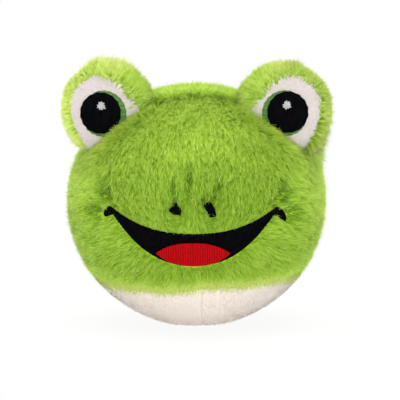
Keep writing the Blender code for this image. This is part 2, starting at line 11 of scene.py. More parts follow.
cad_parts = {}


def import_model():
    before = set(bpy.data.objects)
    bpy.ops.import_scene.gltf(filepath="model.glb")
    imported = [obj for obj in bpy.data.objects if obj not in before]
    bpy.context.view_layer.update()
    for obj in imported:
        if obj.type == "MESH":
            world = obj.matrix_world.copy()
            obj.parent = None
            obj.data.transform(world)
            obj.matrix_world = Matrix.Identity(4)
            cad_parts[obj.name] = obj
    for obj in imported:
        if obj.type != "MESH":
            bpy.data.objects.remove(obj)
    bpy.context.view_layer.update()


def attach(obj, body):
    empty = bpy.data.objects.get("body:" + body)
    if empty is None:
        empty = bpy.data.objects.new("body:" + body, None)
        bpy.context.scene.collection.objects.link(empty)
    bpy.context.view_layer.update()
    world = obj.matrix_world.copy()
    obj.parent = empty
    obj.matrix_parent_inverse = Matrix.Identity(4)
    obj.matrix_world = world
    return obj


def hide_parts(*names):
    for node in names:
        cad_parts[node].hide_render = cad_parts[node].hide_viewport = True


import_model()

SIDES = {"left": -1, "right": 1}

# Ball, as in the model: half sizes from its middle to the tips of its pile
BALL_MIDDLE = np.array([0, 0.0021, 0.0509])
BALL_HALF_WIDTH = 0.0511
BALL_FRONT = 0.0500
BALL_BACK = 0.0490
BALL_CROWN = 0.0456
BALL_BELLY = 0.0514
BALL_AREA = 4 * math.pi * 0.0495**2
FLOOR_Z = -0.0509
BELLY_SEAM_Z = -0.0320
BELLY_SEAM_X = 0.0030
SIDE_SEAM_LEAN = math.radians(11)

# Eye lobes, as in the model; SHOWN is the white that shows between the hairs
HINGE = {name: np.array([side * 0.029985, -0.012886, 0.081095]) for name, side in SIDES.items()}
EYE_BASE_SLOPE = math.radians(36)
EYE_LEAN_BACK = math.radians(6)
EYE_HALF_WIDTH = 0.0185
EYE_TOP = 0.0252
EYE_FOOT = 0.0060
EYE_MIDDLE_RISE = 0.0065
EYE_HALF_THICKNESS = 0.0105
EYE_FULLNESS = 2.5
PATCH_SHIFT = 0.0014
PATCH_HALF_WIDTH = 0.0125
PATCH_TOP = 0.0204
PATCH_FOOT = -0.0035
SHOWN_SHIFT = 0.0020
SHOWN_INNER_WIDTH = 0.0115
SHOWN_OUTER_WIDTH = {-1: 0.0126, 1: 0.0134}
SHOWN_TOP = 0.0189
PUPIL_SHIFT = {-1: 0.0026, 1: 0.0019}
PUPIL_UP = 0.0059
PUPIL_RADIUS = 0.0079
IRIS_RADIUS = 0.0088
IRIS_DROP = 0.0011
IRIS_HALF_TURN = math.radians(122)
IRIS_TURN = {-1: math.radians(42), 1: math.radians(32)}
RAGGED_EDGE = 0.00018
HIGHLIGHT_RADIUS = 0.0018
HIGHLIGHT_INWARD = 0.0019
HIGHLIGHT_UP = 0.0019

# Mouth, tongue and nostrils, as in the model; a lip has its sag and the power of its curve
MOUTH_HALF_WIDTH = 0.0311
MOUTH_CORNER_DROP = 0.0004
MOUTH_CORNER_HEIGHT = 0.0016
UPPER_LIP = (0.0091, 2.5)
LOWER_LIP = (0.0201, 2.3)
MOUTH_SINK = 0.0024
STROKE_RUN = 0.0026
STROKE_DROP = 0.0042
STROKE_WIDTH = 0.0015
STROKE_WEB = 0.0008
STROKE_INSIDE = 0.0005
TONGUE_HALF_WIDTH = 0.0138
TONGUE_ARCH = 0.0047
TONGUE_TIP_RISE = 0.0012
TONGUE_MARGIN = 0.0004
TONGUE_GAP = 0.0003
TONGUE_THICKNESS = 0.0006
TONGUE_SINK = MOUTH_SINK - TONGUE_GAP - TONGUE_THICKNESS
NOSTRIL_SPACING = 0.0126
NOSTRIL_DROP = 0.0006
NOSTRIL_HALF_WIDTH = 0.0022
NOSTRIL_HALF_HEIGHT = 0.0028
NOSTRIL_SINK = 0.0016
NOSTRIL_TILT = math.radians(18)

# How far a nostril shows between the hairs, at every eighth of a turn from the -X side over the foot
NOSTRIL_REACH = {
    -1: (0.0023, 0.0016, 0.0017, 0.0025, 0.0018, 0.0015, 0.0025, 0.0020, 0.0023),
    1: (0.0013, 0.0009, 0.0023, 0.0029, 0.0018, 0.0017, 0.0027, 0.0027, 0.0013),
}

# Spots on the ball: amount, degrees across from the front and up, and the spreads of both.
# The face's rises, painted light and shade in spots of its coat, and where it stands out under the right lobe
RISES = (
    (0.0035, 0, -8, 38, 20),
    (0.0018, 50, -14, 18, 18),
    (0.0018, -50, -14, 18, 18),
    (0.0012, 0, -38, 50, 12),
    (0.0008, 0, 32, 26, 14),
)
# Painted light and shade: lighter up the forehead, over the crown and on the sides, darker over the muzzle,
# the lower cheeks and the jaw
PAINTED_LIGHT_SPOTS = (
    (-0.22, 10, 4, 26, 13),
    (-0.05, 0, 13, 22, 10),
    (0.10, 0, 34, 30, 12),
    (0.12, 0, 52, 45, 9),
    (0.05, -58, 14, 16, 22),
    (0.03, 62, 14, 16, 22),
    (-0.15, -55, -14, 24, 18),
    (-0.12, 55, -14, 24, 18),
    (-0.20, 0, -30, 60, 13),
)
BULGE = ((1, 90, 27, 26, 8),)

# Partings of the fur over the nose: depth, and from x, z to x, z
FURROWS = (
    (1.35, 0.0078, 0.0020, 0.0108, 0.0110),
    (0.60, -0.0066, 0.0020, -0.0079, 0.0120),
    (0.80, -0.0019, 0.0055, -0.0009, 0.0180),
    (0.80, 0.0042, 0.0030, 0.0052, 0.0075),
)
FURROW_WIDTH = 0.0009

# Cloth: how deep the backing lies under the tips of the pile, how thick it is, how full its cushions
# are, and the columns and rows of its meshes
GREEN_DEPTH = 0.0023
WHITE_DEPTH = 0.0005
EYE_PILE_DEPTH = 0.0036
PATCH_DEPTH = 0.0006
SKIN_THICKNESS = 0.0006
PATCH_THICKNESS = 0.0008
EYE_FILL = 0.8
BALL_GRID = (220, 120)
EYE_GRID = (96, 56)

# How much deeper the backing lies in the folds at the mouth's corners, round the nostrils, in the
# belly's seam, in the partings and under the mouth
FOLD_DEPTH = 0.0028
HOLLOW_DEPTH = 0.0004
SEAM_DEPTH = 0.0002
FURROW_DEPTH = 0.0012
MOUTH_DEPTH = 0.0009

# Stitching: how thick its sheets are here, and how far apart its rows of thread lie
MOUTH_THICKNESS = 0.0009
FACE_THICKNESS = 0.0008
EYE_THICKNESS = 0.0007
MOUTH_THREAD = 0.00055
TONGUE_THREAD = 0.0009
NOSTRIL_THREAD = 0.0006
EYE_THREAD = 0.0005

# Seeds of the coats, each of which grows a lock, for every square metre
COAT_DENSITY = 1000000
FRINGE_DENSITY = 18000000
BELLY_DENSITY = 1500000
EYE_DENSITY = 2600000
EYE_AREA = 0.0030
EYE_PILE_SEEDS = 2600

UV_NAME = "OFBake"

# Strands: the most in one mesh, their flattened section, how thick they are at the bend, and the
# shares of its reach that a strand may be cut back to
STRAND_LIMIT = 19000
STRAND_SECTION = ((0.95, 0.35), (-0.95, 0.35), (0, -0.7))
BEND_SHARE = 0.8
TRIM_SHARES = (0.15, 0.25, 0.35, 0.45, 0.6, 0.8, 1.0)

# How a coat grows: strands in a lock and their spread round its seed, how much directions and lengths
# stray, lean at the root and droop beyond the bend in radians, how far tips draw together, the share of
# loose hairs with what they lose in lift and length, the swirl of the nap, the fall under gravity, the
# contrast between strands, how far normals of the underside are raised, and how round a strand is shaded
LONG_LOOK = {
    "per_lock": 7,
    "spread": 0.00048,
    "stray": 0.22,
    "uneven": 0.10,
    "lean": 0.80,
    "droop": 0.22,
    "length": 0.0043,
    "draw": 0.55,
    "radius": 0.0001,
    "loose_share": 0.14,
    "loose_lift": 0.5,
    "loose_cut": 0.15,
    "swirl": 0.20,
    "gravity": 0.45,
    "contrast": 0.12,
    "raised": 0,
    "roundness": 0.36,
}
FRINGE_LOOK = dict(LONG_LOOK, per_lock=1, spread=0, draw=0, radius=0.00006)
FRINGE_LOOK.update(length=0.0015, lean=1.2, contrast=0.10)
PILE_LOOK = dict(LONG_LOOK, per_lock=4, spread=0.0004, stray=0.3, uneven=0.06, lean=1.15, droop=0.15)
PILE_LOOK.update(length=0.0012, draw=0, loose_share=0.1, loose_cut=0, swirl=0.1, gravity=0.1)
PILE_LOOK.update(contrast=0.05, raised=1.0, roundness=0.2)
EYE_LOOK = dict(LONG_LOOK, spread=0.0006, stray=0.36, uneven=0.15, length=0.0052, draw=0.08, radius=0.00007)
EYE_LOOK.update(loose_share=0.2, loose_cut=0, gravity=0.1, contrast=0.15)
EYE_BACK_LOOK = dict(LONG_LOOK, stray=0.25, gravity=0, uneven=0.2, draw=0.7)
EYE_PILE_LOOK = dict(PILE_LOOK, uneven=0.10, lean=1.05, length=0.0013, draw=0.15, radius=0.00009)
EYE_PILE_LOOK.update(contrast=0.15, raised=0)

# Vectors and shares


def unit(vectors):
    return vectors / np.maximum(np.linalg.norm(vectors, axis=-1, keepdims=True), 1e-12)


def smooth(share):
    share = np.clip(share, 0, 1)
    return share * share * (3 - 2 * share)


def bell(away):
    return np.exp(-(away**2))


def axes(points):
    return np.moveaxis(points, -1, 0)


def join(x, y, z):
    return np.stack(np.broadcast_arrays(x, y, z), -1)


def blend(first, second, share):
    return first * (1 - share)[:, None] + second * share[:, None]


def spots(direction, rows, total=0, narrowed=False):
    """A total with soft spots of the ball added; narrowed ones keep their width towards the poles."""
    across = np.degrees(np.arctan2(direction[..., 0], -direction[..., 1]))
    up = np.degrees(np.arcsin(np.clip(direction[..., 2], -1, 1)))
    squeeze = np.cos(np.radians(up)) if narrowed else 1
    for amount, at_across, at_up, across_spread, up_spread in rows:
        away = (across - at_across) * squeeze / across_spread
        total = total + amount * np.exp(-(away**2) - ((up - at_up) / up_spread) ** 2)
    return total


def drift(points, size, seed):
    """Smooth vectors, mostly under 1 long, that change over about the given size."""
    rng = np.random.default_rng(seed)
    waves = unit(rng.normal(size=(3, 6, 3))) * rng.uniform(0.6, 1.6, size=(3, 6, 1)) * (2 * np.pi / size)
    phases = rng.uniform(0, 2 * np.pi, size=(3, 6))
    return np.stack([np.sin(points @ wave.T + phase).sum(-1) for wave, phase in zip(waves, phases)], -1) / 2.5


# Shapes of the ball, in its own frame


def ball_reach(direction):
    x, y, z = axes(direction)
    depth = np.where(y < 0, BALL_FRONT, BALL_BACK)
    height = np.where(z > 0, BALL_CROWN, BALL_BELLY)
    reach = 1 / np.sqrt((x / BALL_HALF_WIDTH) ** 2 + (y / depth) ** 2 + (z / height) ** 2)
    return spots(direction, RISES, reach, narrowed=True)


def ball_surface(direction, depth=0):
    return direction * (ball_reach(direction) - depth)[..., None]


def normals_of(surface, direction):
    """Outward normals of a surface that is given as a function of unit directions."""
    step = 1e-3
    helper = np.where(np.abs(direction[..., 2:3]) > 0.9, [1.0, 0.0, 0.0], [0.0, 0.0, 1.0])
    first = unit(np.cross(helper, direction))
    second = np.cross(direction, first)
    middle = surface(direction)
    along_first = surface(unit(direction + step * first)) - middle
    along_second = surface(unit(direction + step * second)) - middle
    normal = unit(np.cross(along_first, along_second))
    return normal * np.sign((normal * direction).sum(-1, keepdims=True))


def ball_front(x, z, depth):
    """The y of the ball's front at x and z, a depth below the tips of its pile."""
    near = np.full(np.shape(x), -0.09)
    far = np.zeros(np.shape(x))
    for _ in range(34):
        y = (near + far) / 2
        point = join(x, y, z)
        length = np.linalg.norm(point, axis=-1)
        outside = length > ball_reach(point / length[..., None]) - depth
        near = np.where(outside, y, near)
        far = np.where(outside, far, y)
    return near


def seam_y(z):
    """Where the side seam's leaning plane lies at a height over the ball's middle."""
    hinge = HINGE["right"] - BALL_MIDDLE
    return hinge[1] - (z - hinge[2]) * math.tan(SIDE_SEAM_LEAN)


def belly_line(x):
    """Height of the green's lower edge: it wavers, dips once and rises towards +X."""
    dip = 0.0010 * bell((x + 0.014) / 0.010)
    line = BELLY_SEAM_Z + 0.04 * np.clip(x, -0.03, 0.03) - dip
    return line + 0.0003 * np.sin(x * 260) + 0.0002 * np.sin(x * 610)


def edge_share(height):
    """How much of the short pile is green at a height over the belly's line."""
    return smooth(height / 0.0044 + 0.5)


def lip(x, sag, power, lower=0):
    share = np.minimum(np.abs(x) / MOUTH_HALF_WIDTH, 1)
    return -MOUTH_CORNER_DROP - sag * (1 - share**power) - lower


def upper_lip(x):
    return lip(x, *UPPER_LIP)


def lower_lip(x, raised=0):
    return lip(x, *LOWER_LIP, MOUTH_CORNER_HEIGHT - raised)


def in_mouth(x, z, grow_by):
    return (np.abs(x) < MOUTH_HALF_WIDTH) & (z > lower_lip(x) - grow_by) & (z < upper_lip(x) + grow_by)


def stroke_size(x):
    """The strokes at the mouth's corners differ a little: the one at +X is longer."""
    return np.where(x > 0, 1.35, 0.95)


def in_stroke(x, z, grow_by):
    """Whether a point lies on the slanting stroke at either corner of the mouth."""
    along = np.array([STROKE_RUN, -STROKE_DROP])
    length = np.linalg.norm(along)
    along = along / length
    dx = np.abs(x) - MOUTH_HALF_WIDTH
    dz = z + MOUTH_CORNER_DROP
    share = (dx * along[0] + dz * along[1]) / (length * stroke_size(x))
    beside = dx * -along[1] + dz * along[0]
    swell = STROKE_WIDTH * np.sqrt(np.sin(np.pi * np.clip(share, 0, 1)))
    widest = np.where(x > 0, 0.25, 0.05) * swell
    between = (beside > -grow_by - STROKE_INSIDE) & (beside < widest + grow_by)
    return (share > -0.05) & (share < 1.02) & between


def nostril_share(x, z, side):
    """How far out a point lies in a nostril: under 1 is inside."""
    tilt = side * NOSTRIL_TILT
    dx = x - side * NOSTRIL_SPACING / 2
    dz = z + NOSTRIL_DROP
    wide = dx * math.cos(tilt) - dz * math.sin(tilt)
    tall = dx * math.sin(tilt) + dz * math.cos(tilt)
    return np.hypot(wide / NOSTRIL_HALF_WIDTH, tall / NOSTRIL_HALF_HEIGHT)


def nostril_reach(angle, side):
    turns = np.linspace(-np.pi, np.pi, len(NOSTRIL_REACH[side]))
    return np.interp(angle, turns, NOSTRIL_REACH[side])


def shown_nostril(x, z, side):
    """How far out a point lies in what shows of a nostril: under 1 is inside."""
    dx = x - side * NOSTRIL_SPACING / 2
    dz = z + NOSTRIL_DROP
    return np.hypot(dx, dz) / nostril_reach(np.arctan2(dz, dx), side)


def furrow(x, y, z):
    """How deep in a parting of the fur over the nose a point lies."""
    deepest = np.zeros(np.shape(x))
    for depth, x_from, z_from, x_to, z_to in FURROWS:
        run, rise = x_to - x_from, z_to - z_from
        share = np.clip(((x - x_from) * run + (z - z_from) * rise) / (run**2 + rise**2), 0, 1)
        wander = 0.0003 * np.sin(z * 1400 + x_from * 900)
        away = np.hypot(x - x_from - share * run - wander, z - z_from - share * rise)
        deepest = np.maximum(deepest, depth * bell(away / FURROW_WIDTH) * (1 - 0.5 * share))
    return deepest * (y < 0)


def mouth_fold(x, y, z):
    """How deep in the folds up and out from either corner of the mouth a point lies, from 0 to 1."""
    beside = np.abs(x) - MOUTH_HALF_WIDTH - 0.0016 - 0.25 * np.maximum(z, 0)
    upward = bell(beside / 0.0024) * smooth((z + 0.001) / 0.002) * smooth((0.011 - z) / 0.008)
    outward = bell((z + 0.0025) / 0.0022) * smooth((beside - 0.001) / 0.002)
    outward = outward * smooth((0.010 - beside) / 0.006) * 0.8
    return np.maximum(upward, outward) * (y < 0)


def under_mouth(x, y, z):
    """How far a point lies under the stitching of the mouth and its corner strokes, from 0 to 1."""
    span = np.minimum(z - lower_lip(x), upper_lip(x) - z)
    lens = smooth((span + 0.0016) / 0.0010) * smooth((MOUTH_HALF_WIDTH + 0.0015 - np.abs(x)) / 0.001)
    corner = np.hypot(np.abs(x) - MOUTH_HALF_WIDTH - 0.0015, z + 0.0029)
    return np.maximum(lens, smooth((0.0052 - corner) / 0.0015)) * (y < 0)


def skin_surface(direction):
    """The backing: deep under the fur, shallow under the short pile, deeper still where the face is sunk."""
    x, y, z = axes(ball_surface(direction))
    share = smooth((z - belly_line(x) - 0.0008) / 0.0070)
    seam = bell((x - BELLY_SEAM_X) / 0.0007) * (1 - share)
    hollow = np.minimum(nostril_share(x, z, 1), nostril_share(x, z, -1))
    hollow = smooth((2.8 - hollow) / 1.8) * (y < 0)
    deep = FOLD_DEPTH * mouth_fold(x, y, z) + HOLLOW_DEPTH * hollow + SEAM_DEPTH * seam
    deep = deep + FURROW_DEPTH * furrow(x, y, z) + MOUTH_DEPTH * under_mouth(x, y, z)
    return ball_surface(direction, WHITE_DEPTH + (GREEN_DEPTH - WHITE_DEPTH) * share + deep)


# Shapes of an eye lobe, in its own frame, whose origin is the middle of its sewn line

EYE_TURN = {
    name: np.array(Matrix.Rotation(side * EYE_BASE_SLOPE, 3, "Y") @ Matrix.Rotation(-EYE_LEAN_BACK, 3, "X"))
    for name, side in SIDES.items()
}


def eye_to_world(points, side_name):
    return points @ EYE_TURN[side_name].T + HINGE[side_name]


def world_to_eye(points, side_name):
    return (points - HINGE[side_name]) @ EYE_TURN[side_name]


def eye_height(rise):
    """A lobe's half height over its middle, and under it."""
    return np.where(rise > 0, EYE_TOP - EYE_MIDDLE_RISE, EYE_FOOT + EYE_MIDDLE_RISE)


def eye_surface(direction, pile=0):
    total = (np.abs(direction) ** EYE_FULLNESS).sum(-1, keepdims=True) ** (1 / EYE_FULLNESS)
    x, y, z = axes(direction / total)
    z = EYE_MIDDLE_RISE + z * (eye_height(z) - pile)
    return join(x * (EYE_HALF_WIDTH - pile), y * (EYE_HALF_THICKNESS - pile), z)


def eye_front(x, z, depth):
    """The y of a lobe's front at x and z, a depth below the tips of its pile."""
    rise = z - EYE_MIDDLE_RISE
    rest = 1 - np.abs(x / EYE_HALF_WIDTH) ** EYE_FULLNESS - np.abs(rise / eye_height(rise)) ** EYE_FULLNESS
    return -(EYE_HALF_THICKNESS - depth) * np.maximum(rest, 0) ** (1 / EYE_FULLNESS)


def inside_eye(points, grow_by):
    x, y, z = axes(points)
    rise = z - EYE_MIDDLE_RISE
    total = np.abs(x / (EYE_HALF_WIDTH + grow_by)) ** EYE_FULLNESS
    total += np.abs(y / (EYE_HALF_THICKNESS + grow_by)) ** EYE_FULLNESS
    total += np.abs(rise / (eye_height(rise) + grow_by)) ** EYE_FULLNESS
    return total < 1


def patch_share(points, side):
    """How far out a point of the lobe's front lies in the white that shows: under 1 is inside.

    Its side toward the frog's middle is straight up to a corner, its outer side is round.
    """
    inward = SHOWN_SHIFT - side * points[..., 0]
    z = points[..., 2]
    half = np.where(inward > 0, SHOWN_INNER_WIDTH - 0.17 * z, SHOWN_OUTER_WIDTH[side] - 0.10 * z)
    power = np.where(inward > 0, 5.0, 2.2)
    across = np.abs(inward) / np.maximum(half, 0.004)
    up = np.maximum(z, 0) / SHOWN_TOP
    return (across**power + up**power) ** (1 / power)


def eye_root(direction, side):
    """The lobe's backing: near the white front it comes up to it, elsewhere it lies under the fur."""
    outer = eye_surface(direction)
    near = smooth((1.9 - patch_share(outer, side)) / 0.9) * smooth(-outer[..., 1] / 0.005)
    return eye_surface(direction, EYE_PILE_DEPTH - 0.0026 * near)


# Meshes


def link(name, data):
    thing = bpy.data.objects.new(name, data)
    bpy.context.scene.collection.objects.link(thing)
    return thing


def dress(piece, body, node=None):
    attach(piece, body)
    if node:
        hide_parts(node)


def new_piece(name, points, faces, material, uv=None):
    mesh = bpy.data.meshes.new(name)
    points = np.asarray(points, dtype=np.float32)
    faces = np.asarray(faces, dtype=np.int32)
    count, corners = faces.shape
    mesh.vertices.add(len(points))
    mesh.vertices.foreach_set("co", points.ravel())
    mesh.loops.add(count * corners)
    mesh.loops.foreach_set("vertex_index", faces.ravel())
    mesh.polygons.add(count)
    mesh.polygons.foreach_set("loop_start", np.arange(0, count * corners, corners, dtype=np.int32))
    mesh.polygons.foreach_set("use_smooth", np.full(count, True))
    if uv is not None:
        layer = mesh.uv_layers.new(name=UV_NAME)
        layer.data.foreach_set("uv", np.asarray(uv, dtype=np.float32)[faces.ravel()].ravel())
    mesh.update(calc_edges=True)
    mesh.validate()
    mesh.materials.append(material)
    return link(name, mesh)


def sphere_grid(columns, rows):
    """Unit directions of a closed sphere, with their faces as triangles."""
    angles = np.linspace(0, 2 * np.pi, columns, endpoint=False)
    heights = np.linspace(0, np.pi, rows + 1)[1:-1]
    around, down = np.meshgrid(angles, heights)
    ring = join(np.sin(down) * np.cos(around), np.sin(down) * np.sin(around), np.cos(down))
    directions = np.concatenate([[[0, 0, 1]], ring.reshape(-1, 3), [[0, 0, -1]]])
    faces = []
    last = len(directions) - 1
    for column in range(columns):
        beside = (column + 1) % columns
        faces.append((0, 1 + column, 1 + beside))
        for row in range(rows - 2):
            upper = 1 + row * columns
            lower = upper + columns
            faces.append((upper + column, lower + column, lower + beside))
            faces.append((upper + column, lower + beside, upper + beside))
        foot = 1 + (rows - 2) * columns
        faces.append((foot + column, last, foot + beside))
    return directions, np.array(faces)


def strand_mesh(name, material, roots, first, second, sides, radii, lengths, shades, outward, roundness):
    """Closed, bent, tapering, flattened strands: a ring at the root, one at the bend and a tip.

    Their normals lean to the coat's own, so that the coat takes the light softly, the less so the
    rounder a strand is shaded.
    """
    count = len(roots)
    bend = roots + first * (lengths * 0.5)[:, None]
    points, facing = np.empty((2, count, 7, 3), dtype=np.float32)
    uv = np.empty((count, 7, 2), dtype=np.float32)
    for ring, (middle, along, share) in enumerate(((roots, first, 1.0), (bend, second, BEND_SHARE))):
        across = unit(sides - (sides * along).sum(-1, keepdims=True) * along)
        above = np.cross(along, across)
        for corner, (beside, rise) in enumerate(STRAND_SECTION):
            offset = beside * across + rise * above
            points[:, ring * 3 + corner] = middle + offset * (radii * share)[:, None]
            facing[:, ring * 3 + corner] = outward + offset * roundness[:, None]
            uv[:, ring * 3 + corner, 1] = 0.02 + 0.5 * ring
    points[:, 6] = bend + second * (lengths * 0.5)[:, None]
    facing[:, 6] = outward + second * 0.3
    uv[:, 6, 1] = 0.98
    uv[:, :, 0] = shades[:, None]
    pattern = [(2, 1, 0)]
    for corner in range(3):
        beside = (corner + 1) % 3
        pattern += [(corner, beside, 3 + beside), (corner, 3 + beside, 3 + corner)]
        pattern.append((3 + corner, 3 + beside, 6))
    faces = (np.array(pattern)[None] + 7 * np.arange(count)[:, None, None]).reshape(-1, 3)
    piece = new_piece(name, points.reshape(-1, 3), faces, material, uv.reshape(-1, 2))
    normals = piece.data.attributes.new("custom_normal", "FLOAT_VECTOR", "POINT")
    normals.data.foreach_set("vector", unit(facing).ravel())
    piece.data.update()
    return piece


def above_coat(direction, normal, least):
    """The direction raised, where it has to be, until it clears the surface."""
    direction = unit(direction)
    rise = (direction * normal).sum(-1)
    return unit(direction + normal * np.maximum(least - rise, 0)[:, None])


def trimmed(root, reach, blocked):
    """The share of each strand's reach that keeps its tip off what stays bare; 0 where none does."""
    best = np.zeros(len(root))
    clear = np.ones(len(root), dtype=bool)
    for share in TRIM_SHARES:
        clear &= ~blocked(root + reach * share)
        best = np.where(clear, share, best)
    return best


def grow(name, body, slot, material, field, seeds, rng, look, blocked=None):
    """Locks of fur: each seed grows several strands whose tips draw together.

    field gives root, normal, comb direction, length factor, lift, tone with painted light and shade, and
    whether a strand is kept, of points near the surface; blocked says which tips would hang over
    something bare.
    """
    per_lock = look["per_lock"]
    count = len(seeds) * per_lock
    lock = np.repeat(np.arange(len(seeds)), per_lock)
    spread = rng.normal(size=(count, 3)) * look["spread"]
    root, normal, comb, factor, lift, painted_light_and_tone, keep = field(seeds[lock] + spread)
    lock_lean = rng.normal(size=(len(seeds), 3)) * look["stray"]
    lock_length = 1 + rng.normal(size=len(seeds)) * look["uneven"]
    swirl = drift(root, 0.007, 3) * look["swirl"]
    comb = unit(comb + swirl + lock_lean[lock] + rng.normal(size=(count, 3)) * look["stray"] * 0.35)
    comb = unit(comb - (comb * normal).sum(-1, keepdims=True) * normal)
    loose = rng.random(count) < look["loose_share"]
    lift = lift * (1 - look["loose_lift"] * loose)
    lean = np.clip(look["lean"] * lift + rng.normal(size=count) * 0.07, 0.02, 1.45)
    droop = np.clip(lean + look["droop"] * lift, 0.02, 1.5)
    length = look["length"] * factor * lock_length[lock] * (1 + rng.normal(size=count) * 0.08)
    length = np.clip(length, look["length"] * 0.15, look["length"] * 2.2) * (1 - look["loose_cut"] * loose)
    first = normal * np.cos(lean)[:, None] + comb * np.sin(lean)[:, None]
    second = normal * np.cos(droop)[:, None] + comb * np.sin(droop)[:, None]
    fall = np.outer(look["gravity"] * (0.4 + 0.6 * np.clip(normal[:, 2], 0, 1)), [0, 0, -1])
    first = above_coat(first + fall * 0.5, normal, 0.15)
    second = above_coat(second + fall, normal, 0.05)
    offset = root - (np.add.reduceat(root, np.arange(0, count, per_lock)) / per_lock)[lock]
    pull = look["draw"] / np.maximum(length, 1e-4)
    first = unit(first - offset * (pull * 0.6)[:, None])
    second = unit(second - offset * (pull * 1.4)[:, None])
    radius = look["radius"] * (1 + rng.uniform(-0.25, 0.25, size=count))
    if blocked is not None:
        share = trimmed(root, (first + second) * (length * 0.5)[:, None], blocked)
        length = length * np.maximum(share, 0.1)
        keep = keep & (share > 0)
    # Tone differs at random from lock to lock and strand to strand, on top of the field's painted light and
    # shade
    painted_light_and_tone = painted_light_and_tone + look["contrast"] * 0.3 * drift(root, 0.012, 4)[:, 0]
    shade = 0.5 + painted_light_and_tone + (rng.normal(size=len(seeds))[lock] * 0.5 + rng.normal(size=count)) * look["contrast"]
    shade = np.clip(shade, 0.02, 0.98)
    sides = np.cross(normal, comb)
    outward = unit(normal + np.outer(look["raised"] * np.maximum(-normal[:, 2] - 0.4, 0), [0, 0, 1]))
    roundness = np.where(loose, 1.5, look["roundness"])
    data = [a[keep] for a in (root, first, second, sides, radius, length, shade, outward, roundness)]
    parts = max(1, math.ceil(len(data[0]) / STRAND_LIMIT))
    order = np.argsort(data[0][:, 0 if name.startswith("face") else 2], kind="stable")
    for number, chosen in enumerate(np.array_split(order, parts), 1):
        piece_name = f"{name}_{number}" if parts > 1 else name
        dress(strand_mesh(piece_name, material, *(a[chosen] for a in data)), body)


def sphere_seeds(rng, density, area=BALL_AREA):
    """Unit directions spread at random, as many as the density per square metre asks for."""
    count = int(density * area)
    index = np.arange(count)
    height = 1 - 2 * (index + 0.5) / count
    angle = np.pi * (3 - math.sqrt(5)) * index
    flat = np.sqrt(1 - height**2)
    seeds = join(flat * np.cos(angle), flat * np.sin(angle), height)
    jitter = math.sqrt(4 * np.pi / count) * 0.45
    return unit(seeds + rng.normal(size=seeds.shape) * jitter)


# Materials


def plug(tree, socket, value):
    """Link another node's socket to this one, or set its own value."""
    if isinstance(value, bpy.types.NodeSocket):
        tree.links.new(value, socket)
    else:
        socket.default_value = value


def add_node(tree, kind, inputs=None, **settings):
    node = tree.nodes.new(f"ShaderNode{kind}")
    for name, value in settings.items():
        setattr(node, name, value)
    for key, value in (inputs or {}).items():
        plug(tree, node.inputs[key], value)
    return node


def new_material(name, roughness, sheen=0.0, sheen_tint=(1, 1, 1), gloss=0.25):
    material = bpy.data.materials.new(name)
    material.use_nodes = True
    shader = material.node_tree.nodes["Principled BSDF"].inputs
    shader["Roughness"].default_value = roughness
    shader["Sheen Weight"].default_value = sheen
    shader["Sheen Roughness"].default_value = 0.4
    shader["Sheen Tint"].default_value = (*sheen_tint, 1)
    shader["Specular IOR Level"].default_value = gloss
    return material, material.node_tree, shader


def ramp(tree, stops, fac):
    node = add_node(tree, "ValToRGB", {"Fac": fac})
    elements = node.color_ramp.elements
    while len(elements) < len(stops):
        elements.new(0.5)
    for element, (place, colour) in zip(elements, stops):
        element.position = place
        element.color = (*colour, 1)
    return node.outputs["Color"]


def multiply(tree, first, second):
    """Product of two colours; 6, 7 and 2 are the colour sockets of a mix node."""
    inputs = {0: 1.0, 6: first, 7: second}
    return add_node(tree, "Mix", inputs, data_type="RGBA", blend_type="MULTIPLY").outputs[2]


def object_place(tree):
    return add_node(tree, "TexCoord").outputs["Object"]


def noise(tree, scale, detail=3, where=None):
    inputs = {"Scale": scale, "Detail": detail, "Vector": where or object_place(tree)}
    return add_node(tree, "TexNoise", inputs).outputs["Fac"]


def bump(tree, shader, height, strength, distance):
    node = add_node(tree, "Bump", {"Strength": strength, "Distance": distance, "Height": height})
    plug(tree, shader["Normal"], node.outputs["Normal"])


def strand_material(name, root, middle, tip, dark, light, sheen=0.1, sheen_tint=(1, 1, 0.7)):
    """Fur whose colour runs from root to tip and differs from strand to strand, with painted light and shade
    among the differences.
    """
    material, tree, shader = new_material(name, 0.85, sheen, sheen_tint)
    uv = add_node(tree, "UVMap", uv_map=UV_NAME).outputs["UV"]
    split = add_node(tree, "SeparateXYZ", {"Vector": uv}).outputs
    along = ramp(tree, ((0.0, root), (0.5, middle), (1.0, tip)), split["Y"])
    # The darkest stop, under a share of 0.15, is reached mostly by painted shade in folds and partings
    deepest = tuple(0.55 * value for value in dark)
    shade = ramp(tree, ((0.0, deepest), (0.15, dark), (0.85, light)), split["X"])
    plug(tree, shader["Base Color"], multiply(tree, along, shade))
    return material


def skin_material(name, dark, light, scale):
    """The backing between the roots of the pile."""
    material, tree, shader = new_material(name, 0.95)
    grain = noise(tree, scale, 4)
    plug(tree, shader["Base Color"], ramp(tree, ((0.3, dark), (0.7, light)), grain))
    bump(tree, shader, grain, 0.3, 0.0003)
    return material


def thread_material(name, dark, light, roughness, scale, stretch, gloss, pitch=0):
    """Satin stitching: fine twisted threads, with painted shade between rows that stand a pitch apart."""
    material, tree, shader = new_material(name, roughness, gloss=gloss)
    place = object_place(tree)
    stretched = add_node(tree, "Mapping", {"Scale": stretch, "Vector": place}).outputs["Vector"]
    grain = noise(tree, scale, 3, stretched)
    colour = ramp(tree, ((0.3, dark), (0.7, light)), grain)
    # Painted shade in the grooves between the rows of thread
    if pitch:
        inputs = {"Scale": 2 * math.pi / (20 * pitch), "Distortion": 2.5, "Detail Scale": 400}
        rows = add_node(tree, "TexWave", {**inputs, "Vector": place}).outputs["Fac"]
        colour = multiply(tree, colour, ramp(tree, ((0.0, (0.55, 0.55, 0.55)), (0.45, (1, 1, 1))), rows))
    plug(tree, shader["Base Color"], colour)
    bump(tree, shader, grain, 0.35, 0.0002)
    return material


